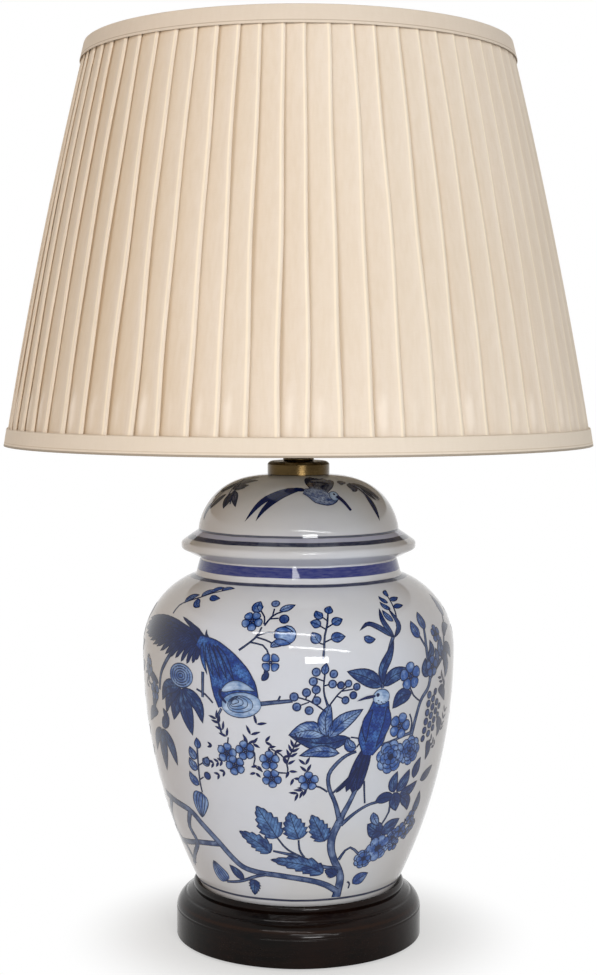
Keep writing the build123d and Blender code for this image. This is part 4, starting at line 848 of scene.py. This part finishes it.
def paint_lid():
    """Flying bird between sprigs on the dome, twice round."""
    leaves, tail, wings, body, head, marks = brushes(lid_glaze, 0.06, 0.10, 0.12, 0.14, 0.18, 0.24)
    tail.strokes([
        (6.2, 1.5, (8, 35), (0, 38), (-10, 33), (-17, 26), (-22, 18), (-25, 10.6)),
        (5.8, 1.5, (6, 36), (-6, 37.4), (-18, 31), (-25, 24), (-32, 10)),
    ], "leaf", 17)
    tail.stroke([(-14, 29), (-19, 23), (-22, 16.6)], 2.6, "blade", 1.5, 9, 3)
    wings.strokes([
        (8.4, 0.6, (14, 33), (12, 42), (12, 52), (16, 61)), (8.0, 0.6, (15, 33), (17, 44), (21, 57)),
        (8.6, 0.6, (17, 33), (21, 44), (29, 56)), (7.0, 0.6, (18, 33), (25, 42), (35, 52)),
    ], "plume", 11)
    spine = [(4, 36), (10, 34), (15.6, 30.4), (21, 28.8), (25, 30)]
    body.stroke(spine, (6, 11, 14.5, 13.5, 8), None, 0.45, 13, 7)
    head.stroke([(21.4, 31), (24.8, 30.6), (28.6, 29.6)], 9.6, "round", 0.0, 11, 5)
    marks.stroke([(27.0, 30.4), (30, 25.4), (33.0, 18)], (3.2, 2.8, 2.0), None, 0.9, 7, 3)
    marks.stroke([(24.6, 32), (26.4, 32)], 2.0, "round", 1.0, 7, 5)
    for width, *knots in (
        (1.4, (-70, 50), (-62, 40), (-53, 22)), (1.4, (-66, 46), (-70, 36), (-76, 26)),
        (2.2, (50, 44), (53, 30), (53.6, 12)), (1.8, (52, 42), (58, 34), (65, 24)),
        (1.6, (118, 44), (112, 32), (108, 18)), (1.4, (118, 44), (126, 34), (132, 22)),
    ):
        marks.stroke(knots, (width, width * 0.7), None, 0.6, 9, 3)
    leaves.strokes([
        (9.0, 0.9, (-53.6, 33), (-53.4, 26), (-52.6, 18)), (8.0, 0.6, (-60, 38), (-55, 46), (-44, 50)),
        (6.4, 0.6, (-62, 40), (-66, 48), (-62, 56)), (6.0, 0.6, (-66, 38), (-72, 34), (-80, 34)),
        (6.0, 0.6, (-60, 30), (-65, 24), (-70, 16)), (5.4, 0.6, (-57, 40), (-50, 40), (-45, 42)),
        (8.0, 0.8, (50, 44), (46, 36), (43, 34)), (5.4, 0.8, (53.6, 32), (53.6, 20), (53.8, 9)),
        (7.0, 0.8, (52, 44), (60, 38), (68, 24)), (5.4, 0.7, (56, 38), (58, 30), (61, 24)),
        (6.0, 0.7, (48, 46), (42, 46), (38, 42)), (8.0, 0.5, (116, 42), (110, 36), (104, 34)),
        (8.0, 0.5, (118, 42), (126, 38), (134, 38)), (6.4, 0.8, (108, 22), (106, 14), (108, 8)),
        (6.0, 0.7, (124, 34), (132, 28), (138, 20)), (7.0, 0.5, (118, 44), (118, 52), (122, 60)),
    ], "leaf")
    tail.finish("lid_bird_plumes", plume_paint)
    wings.finish("lid_bird_wings", faded_paint)
    body.finish("lid_bird_body", down_paint)
    head.finish("lid_bird_head", breast_paint)
    marks.finish("lid_bird_marks", ink_paint)
    leaves.finish("lid_leaves", faded_paint)


def paint_sides():
    """Small sprigs that fill the gaps between the two panels, one on each side."""
    stems, leaves, petals, hearts = brushes(jar_glaze, 0.05, 0.09, 0.12, 0.16)
    for up in (60, 118, 178):
        for shift, lean in ((0, 1), (11, -1)):
            angle, low = 88 + shift, up + 8 * lean
            knots = [(angle, low - 20), (angle + 2 * lean, low - 6), (angle + 5 * lean, low + 10)]
            stems.stroke(knots, (1.6, 1.1), rows=9)
            for k, (step, side) in enumerate(((-12, 1), (-5, -1), (2, 1), (8, -1))):
                base = (angle + (step + 16) * 0.14 * lean, low + step)
                tip = (base[0] + 5.6 * side, base[1] + 8)
                leaves.stroke([base, (base[0] + 2.2 * side, base[1] + 5.4), tip], 6.4, "leaf", 0.3 + 0.15 * k)
            blossom(petals, hearts, angle + 5.4 * lean, low + 15, 6.6, 5, 70 * lean, 0.35)
    stems.finish("side_sprig_stems", stem_paint)
    leaves.finish("side_sprig_leaves", leaf_paint)
    petals.finish("side_sprig_petals", petal_paint)
    hearts.finish("side_sprig_hearts", berry_paint)


paint_panel()
paint_large_bird()
paint_perched_bird()
paint_lid()
paint_sides()


# ------------------------------------------------------------------------------- shade
def crest(z):
    """Crest radius of the pleats: a cone between the rims, swollen in the middle."""
    rise = (z - SHADE_LOW) / (SHADE_HIGH - SHADE_LOW)
    return CREST_LOW + (CREST_HIGH - CREST_LOW) * rise + 4 * SHADE_BOW * rise * (1 - rise)


def pleat_edges():
    """Angle where each pleat begins, in radians from +X as in the frame, a little uneven."""
    k = np.arange(PLEATS)
    widths = 1 + PLEAT_JITTER * (np.sin(2.4 * k) + 0.6 * np.sin(5.7 * k + 1))
    return np.concatenate([[0], np.cumsum(widths)]) * 2 * np.pi / widths.sum()


# One knife pleat, as (share of its width, share of the depth): the hidden start under the last
# fold, the flat open face, the rounded roll at the crest, and the return tucked behind it.
FOLD = np.array([
    (-0.16, 0.94), (-0.06, 0.90), (0.00, 0.84), (0.05, 0.72), (0.12, 0.60), (0.28, 0.50),
    (0.50, 0.38), (0.66, 0.24), (0.745, 0.10), (0.80, 0.02), (0.85, 0.00), (0.90, 0.06),
    (0.945, 0.20), (0.972, 0.40), (0.960, 0.56), (0.90, 0.70), (0.845, 0.86),
])


# Above the lower rim each open face puffs out: its height and reach in mm, then the same as
# shares of the pleat's width.
PUFF_UP, PUFF_TALL, PUFF_SHARE, PUFF_WIDE = 24, 13, 0.24, 0.15


def make_cover():
    """Knife-pleated cloth as one folded sheet: each row is the fold line carried round the shade.

    Every pleat breathes: its depth and crest drift slowly up the side, as hand-laid folds do.
    """
    low, high = SHADE_LOW + 1.1, SHADE_HIGH - 0.4
    z = np.linspace(low, high, 30)[:, None, None]
    edges = pleat_edges()
    start, width = edges[:-1][None, :, None], np.diff(edges)[None, :, None]
    k = np.arange(PLEATS)[None, :, None]
    share, sunk = FOLD[:, 0][None, None, :], FOLD[:, 1][None, None, :]
    drift = 0.030 * np.sin(z * 0.021 + 1.9 * k) + 0.022 * np.sin(z * 0.047 + 3.1 * k)
    calm = np.clip((z - low) / 30, 0, 1) * np.clip((high - z) / 30, 0, 1)
    slack = 1 + 0.12 * np.sin(0.9 * k + z * 0.016) * calm
    puff = np.exp(-(((z - low - PUFF_UP) / PUFF_TALL) ** 2))
    puff = puff * np.exp(-(((share - PUFF_SHARE) / PUFF_WIDE) ** 2))
    puff = (0.66 + 0.34 * np.sin(2.3 * k + 1.0)) * puff
    slack = slack - 0.95 * puff
    angle = start + width * (share + drift * calm * np.exp(-((share - 0.9) / 0.45) ** 2))
    depth = PLEAT_DEPTH * crest(z) / CREST_LOW
    radius = crest(z) - 0.12 - np.minimum(depth * sunk * slack, depth * 0.97)
    points = np.stack(
        np.broadcast_arrays(radius * np.cos(angle), radius * np.sin(angle), z), axis=-1
    )
    rows, cols = points.shape[0], PLEATS * len(FOLD)
    faces = grid_faces(rows, cols, wrap_cols=True)
    tuck = np.broadcast_to(np.minimum(sunk * slack, 1), (rows, PLEATS, len(FOLD)))
    tone = np.broadcast_to(0.5 + 0.5 * np.sin(4.3 * k + 0.7), tuck.shape)
    values = {"tuck": tuck, "tone": tone, "puff": puff}
    cover = make_piece("pleated_cloth", points.reshape(-1, 3) * MM, faces, values)
    wall = cover.modifiers.new("thickness", "SOLIDIFY")
    wall.thickness, wall.offset = 0.00022, -1
    finish = cloth_finish("pleat_cloth", "e9ddd0", "d8c7b0", pleated=True)
    dress(cover, finish, "shade", ["pleated_cover"])


BAND_LINE_EDGE = 0.00015        # metres over which a line on a band fades, either way


def cloth_finish(name, light, deep, pleated=False, slubs=0.30, lines=()):
    """Fine silk-like cloth: upright slubs, a close weave in colour and bump, soft sheen; when pleated,
    painted shade in the folds and painted highlights on the crests.

    Each line on it is (low, high, strength, colour), with its heights in millimetres.
    """
    f = Finish(name)
    slub = f.noise(380.0, 3.0, vector=f.stretched(1.0, 1.0, 0.05))
    weft = f.noise(900.0, 2.0, vector=f.stretched(0.25, 0.25, 3.0))
    colour = f.tint(light, deep, slub, 0.3, 0.75, slubs)
    colour = f.tint(colour, deep, weft, 0.35, 0.7, 0.10)
    colour = f.tint(colour, deep, f.noise(7.0, 2.0), 0.3, 0.7, 0.25)
    if pleated:
        tuck = f.value("tuck")
        right = f.node("SeparateXYZ", {"Vector": f.where()}).outputs["X"]
        # painted shade: the folds darken by their depth, more on the shade's left half than on its right, as
        # the light falls
        lit = f.ramp(right, -0.13, 0.02, 0.36, 0.12)
        colour = f.mix(f.math("MULTIPLY", f.ramp(tuck, 0.08, 0.62), lit), colour, "c6aa7c")
        # painted shade deep in the tucks, then painted highlights on the faces near the crest and on the
        # crest itself
        colour = f.tint(colour, "b3946c", tuck, 0.6, 0.95, 0.5)
        colour = f.tint(colour, "f6ead6", tuck, 0.0, 0.28, 0.0, 0.22)
        colour = f.tint(colour, "fff2da", tuck, 0.0, 0.05, 0.0, 0.6)
        # painted highlight on the puffs above the lower rim
        colour = f.tint(colour, "f4e8da", f.value("puff"), 0.15, 0.8, 0.75)
        colour = f.mix(f.math("MULTIPLY", f.value("tone"), 0.10), colour, "e6dccb")
    for low, high, strength, overlay in lines:
        low, high = low * MM + BAND_LINE_EDGE, high * MM - BAND_LINE_EDGE
        colour = f.mix(f.between(f.height(), low, high, BAND_LINE_EDGE, strength), colour, overlay)
    f.bump(f.math("ADD", slub, weft), 0.25, 0.0002)
    return f.shade(
        Base_Color=colour, Roughness=0.72, Sheen_Weight=0.25, Sheen_Roughness=0.4,
        Sheen_Tint=rgb("fff1dc"),
    )


def band_ring(name, low, material, stands_for):
    """A cloth band: its outer face bows over the pleats, turns at the rim and comes back inside."""
    z = np.linspace(low, low + BAND_H, 9)
    face = crest(z) + BAND_GAP + BAND_T
    back = crest(z[::-1]) + BAND_GAP + 0.1
    outline = np.vstack([np.stack([face, z], 1), np.stack([back, z[::-1]], 1)])
    closed = np.vstack([outline, outline[:1]])
    ring = turned(name, even_steps(closed, 0.7, soften=0.9)[:-1], 264)
    return dress(ring, material, "shade", [stands_for])


def make_bands():
    """Bands over both rims, with a rolled lower edge that carries a painted shadow line, and stitched lines.
    """
    finish = cloth_finish(
        "top_band", "dfd3c5", "cab9a2", slubs=0.1, lines=[(607.5, 608.3, 0.6, "9c8668")],
    )
    top = band_ring("top_band_cloth", SHADE_HIGH - BAND_H, finish, "top_band")
    # the first line is painted shadow under the rolled lower edge; the other two are stitching
    lines = [(345.0, 347.5, 0.8, "8d8172"), (348.3, 349.1, 0.4, "b39c7c"), (357.2, 358.4, 0.3, "b39c7c")]
    finish = cloth_finish("bottom_band", "e7dcce", "d4c6b1", slubs=0.1, lines=lines)
    bottom = band_ring("bottom_band_cloth", SHADE_LOW, finish, "bottom_band")


make_cover()
make_bands()


# --------------------------------------------------------- finishes of the turned fittings
STAND_EDGE_Z, STAND_GROOVES_Z = 0.0254, (0.0305, 0.0212)      # metres


def wood_finish():
    """Espresso stain: fine grain drawn round the turning, a redder line painted at the shoulder's edge as a
    highlight, satin lacquer.
    """
    f = Finish("espresso_wood")
    height = f.height()
    grain = f.noise(42.0, 5.0, 0.6, f.stretched(0.35, 4.0, 7.0))
    pore = f.noise(520.0, 2.0, 0.5, f.stretched(0.06, 1.0, 1.0))
    colour = f.tint("070504", "140b07", grain, 0.35, 0.7)
    colour = f.tint(colour, "24110a", f.noise(11.0, 3.0), 0.35, 0.7, 0.35)
    colour = f.tint(colour, "0b0807", pore, 0.6, 0.72, 0.5)
    # painted highlight: a lighter, redder line along the edge of the stand's shoulder
    colour = f.tint(colour, "38200f", f.apart(height, STAND_EDGE_Z), 0.0002, 0.0016, 0.0, 0.3)
    relief = f.math("MULTIPLY", f.math("ADD", grain, pore), 0.12)
    for groove in STAND_GROOVES_Z:
        relief = f.math("ADD", relief, f.ramp(f.apart(height, groove), 0.0, 0.0011))
    f.bump(relief, 0.9, 0.0005)
    rough = f.ramp(f.noise(26.0, 3.0), 0.3, 0.7, 0.10, 0.16)
    return f.shade(Base_Color=colour, Roughness=rough, Specular_IOR_Level=0.12)


def metal_finish(name, light, dark, low, high):
    """Plated or aged metal: brushed round the axis, darker in patches, roughness from low to high."""
    f = Finish(name)
    lay = f.noise(240.0, 3.0, 0.6, f.stretched(1.0, 1.0, 9.0))
    patch = f.ramp(f.noise(36.0, 3.0), 0.35, 0.7, 0.0, 0.4)
    colour = f.tint(f.mix(patch, light, dark), dark, lay, 0.4, 0.75, 0.3)
    wear = f.math("ADD", f.math("MULTIPLY", lay, 0.5), f.math("MULTIPLY", patch, 0.6))
    f.bump(lay, 0.12, 0.0002)
    return f.shade(Base_Color=colour, Metallic=1.0, Roughness=f.ramp(wear, 0.1, 0.8, low, high))


def plain_finish(name, light, dark, rough, scale, strength, distance=0.0003, **sockets):
    """Moulded, pressed or fibrous stuff: a fine mottle of two tones with a matching bump."""
    f = Finish(name)
    fine, slow = f.noise(scale, 4.0, 0.6), f.noise(scale / 14, 2.0)
    colour = f.tint(f.tint(light, dark, fine, 0.3, 0.7), dark, slow, 0.3, 0.7, 0.5)
    f.bump(fine, strength, distance)
    return f.shade(Base_Color=colour, Roughness=rough, **sockets)


def dress_fittings():
    """Gives each fitting that keeps its solid the finish of its slot."""
    finishes = {
        "felt": plain_finish("felt", "24262a", "0f1012", 0.95, 1400.0, 0.8, 0.0006, Sheen_Weight=0.4),
        "dark_wood": wood_finish(),
        "black_plastic": plain_finish("black_plastic", "1d1d1f", "121214", 0.38, 900.0, 0.08),
        "zinc_steel": metal_finish("zinc_steel", "b9bcc0", "85898f", 0.28, 0.46),
        "rubber": plain_finish("rubber", "232324", "151516", 0.82, 700.0, 0.2),
        "antique_brass": metal_finish("antique_brass", "54442a", "20180d", 0.2, 0.38),
        "socket_brass": metal_finish("socket_brass", "cfae6a", "9a7a3c", 0.2, 0.36),
        "liner_card": plain_finish("liner_card", "a48a68", "84694a", 0.9, 600.0, 0.4),
        "moulded_block": plain_finish("moulded_block", "2a211c", "18120f", 0.45, 500.0, 0.15),
        "frosted_glass": plain_finish(
            "frosted_glass", "f0f0ec", "e4e4de", 0.42, 300.0, 0.04, Coat_Weight=0.3,
        ),
        "bulb_cap_metal": metal_finish("bulb_cap_metal", "cfcfd2", "a0a1a6", 0.24, 0.4),
        "frame_wire": plain_finish("frame_wire", "e2dac9", "cfc4ae", 0.4, 260.0, 0.12),
        "lining_film": plain_finish("lining_film", "e6ddcd", "d9ceba", 0.6, 420.0, 0.12),
    }
    for part in frame["record"]["subparts"]:
        finish = finishes.get(part["material_slot"])
        if finish:
            for place in nodes[part["node"]].material_slots:
                place.material = finish


dress_fittings()


# ------------------------------------------------------------------ stage, light, camera
def seen_directly(tree):
    """One for rays that show the surround itself: from the camera, a mirror or through glass."""
    path = tree.nodes.new("ShaderNodeLightPath")
    share = path.outputs["Is Camera Ray"]
    for name in ("Is Glossy Ray", "Is Transmission Ray"):
        most = tree.nodes.new("ShaderNodeMath")
        most.operation = "MAXIMUM"
        tree.links.new(share, most.inputs[0])
        tree.links.new(path.outputs[name], most.inputs[1])
        share = most.outputs[0]
    return share


FLOOR_HALF, FLOOR_DROP = 6.0, 0.0004      # metres: half its width, and how far below the felt
FILL_LIGHT = 0.34                         # the surround's light on the lamp; seen directly it is 1


def make_stage():
    """White floor, seen from above only, that keeps the shadow round the foot; white surround."""
    corners = [(-1, -1), (1, -1), (1, 1), (-1, 1)]
    points = np.array([(FLOOR_HALF * x, FLOOR_HALF * y, -FLOOR_DROP) for x, y in corners])
    floor = make_piece("floor", points, np.array([[0, 1, 2, 3]]))
    f = Finish("floor_paint")
    f.shade(Base_Color=rgb("f2f2f0"), Roughness=0.9)
    reach = f.node("VectorMath", {0: f.where()}, operation="LENGTH").outputs["Value"]
    far = f.ramp(reach, 0.085, 0.17, 0.5, 1.0)
    glow = f.node("Emission", {"Color": (1.0, 1.0, 1.0, 1.0), "Strength": 1.0})
    blend = f.node("MixShader", {0: f.math("MULTIPLY", far, seen_directly(f.tree))})
    f.tree.links.new(f.shader.outputs[0], blend.inputs[1])
    f.tree.links.new(glow.outputs[0], blend.inputs[2])
    above = f.node("MixShader", {0: f.node("NewGeometry").outputs["Backfacing"]})
    f.tree.links.new(blend.outputs[0], above.inputs[1])
    f.tree.links.new(f.node("BsdfTransparent").outputs[0], above.inputs[2])
    f.tree.links.new(above.outputs[0], f.tree.nodes["Material Output"].inputs["Surface"])
    floor.data.materials.append(f.material)
    world = bpy.data.worlds.new("surround")
    bpy.context.scene.world = world
    world.use_nodes = True
    tree = world.node_tree
    tree.nodes.clear()
    strength = tree.nodes.new("ShaderNodeMapRange")
    tree.links.new(seen_directly(tree), strength.inputs["Value"])
    strength.inputs["To Min"].default_value = FILL_LIGHT
    strength.inputs["To Max"].default_value = 1.0
    back = tree.nodes.new("ShaderNodeBackground")
    tree.links.new(strength.outputs["Result"], back.inputs["Strength"])
    back.inputs["Color"].default_value = (1, 1, 1, 1)
    out = tree.nodes.new("ShaderNodeOutputWorld")
    tree.links.new(back.outputs["Background"], out.inputs["Surface"])


def softbox(name, place, aim, size, watts, tint="ffffff", mirrored=False, roll=0.0):
    """A rectangular lamp that faces a point: either it lights the lamp, or it shows in its gloss."""
    data = bpy.data.lights.new(name, "AREA")
    data.shape, data.size, data.size_y, data.energy = "RECTANGLE", size[0], size[1], watts
    data.color = rgb(tint)[:3]
    lamp = bpy.data.objects.new(name, data)
    lamp.location = place
    lamp.visible_glossy, lamp.visible_diffuse = mirrored, not mirrored
    facing = (Vector(aim) - Vector(place)).to_track_quat("-Z", "Y")
    lamp.rotation_euler = (facing @ Quaternion((0, 0, 1), radians(roll))).to_euler()
    bpy.context.scene.collection.objects.link(lamp)


CAMERA_AT, CAMERA_DOWN, CAMERA_LENS = (0.0, -1.2105, 0.3965), 3.84, 64.06


def make_light_and_camera():
    """Two soft lamps, three reflections of the room's panes, and the camera of the photograph."""
    softbox("front", (0.34, -2.3, 1.15), (0, 0, 0.32), (1.5, 1.1), 32, "fffbf6")
    softbox("left_fill", (-2.2, -1.2, 0.5), (0, 0, 0.3), (0.9, 1.2), 8, "ffd19c")
    softbox("pane", (0.45, -2.0, 0.42), (0, 0, 0.2), (0.58, 0.32), 16, mirrored=True)
    softbox("long_pane", (0.52, -1.85, 0.92), (0, 0, 0.2), (1.6, 0.10), 8, mirrored=True, roll=-13)
    softbox("high_pane", (-0.33, -1.46, 1.55), (0, 0, 0.2), (1.5, 0.10), 7, mirrored=True)
    data = bpy.data.cameras.new("camera")
    data.lens, data.sensor_width, data.sensor_fit = CAMERA_LENS, 36.0, "AUTO"
    data.clip_start, data.clip_end = 0.01, 50.0
    camera = bpy.data.objects.new("camera", data)
    camera.location = CAMERA_AT
    camera.rotation_euler = (radians(90 - CAMERA_DOWN), 0.0, 0.0)
    bpy.context.scene.collection.objects.link(camera)
    bpy.context.scene.camera = camera
    bpy.context.scene.view_settings.view_transform = "Standard"


make_stage()
make_light_and_camera()
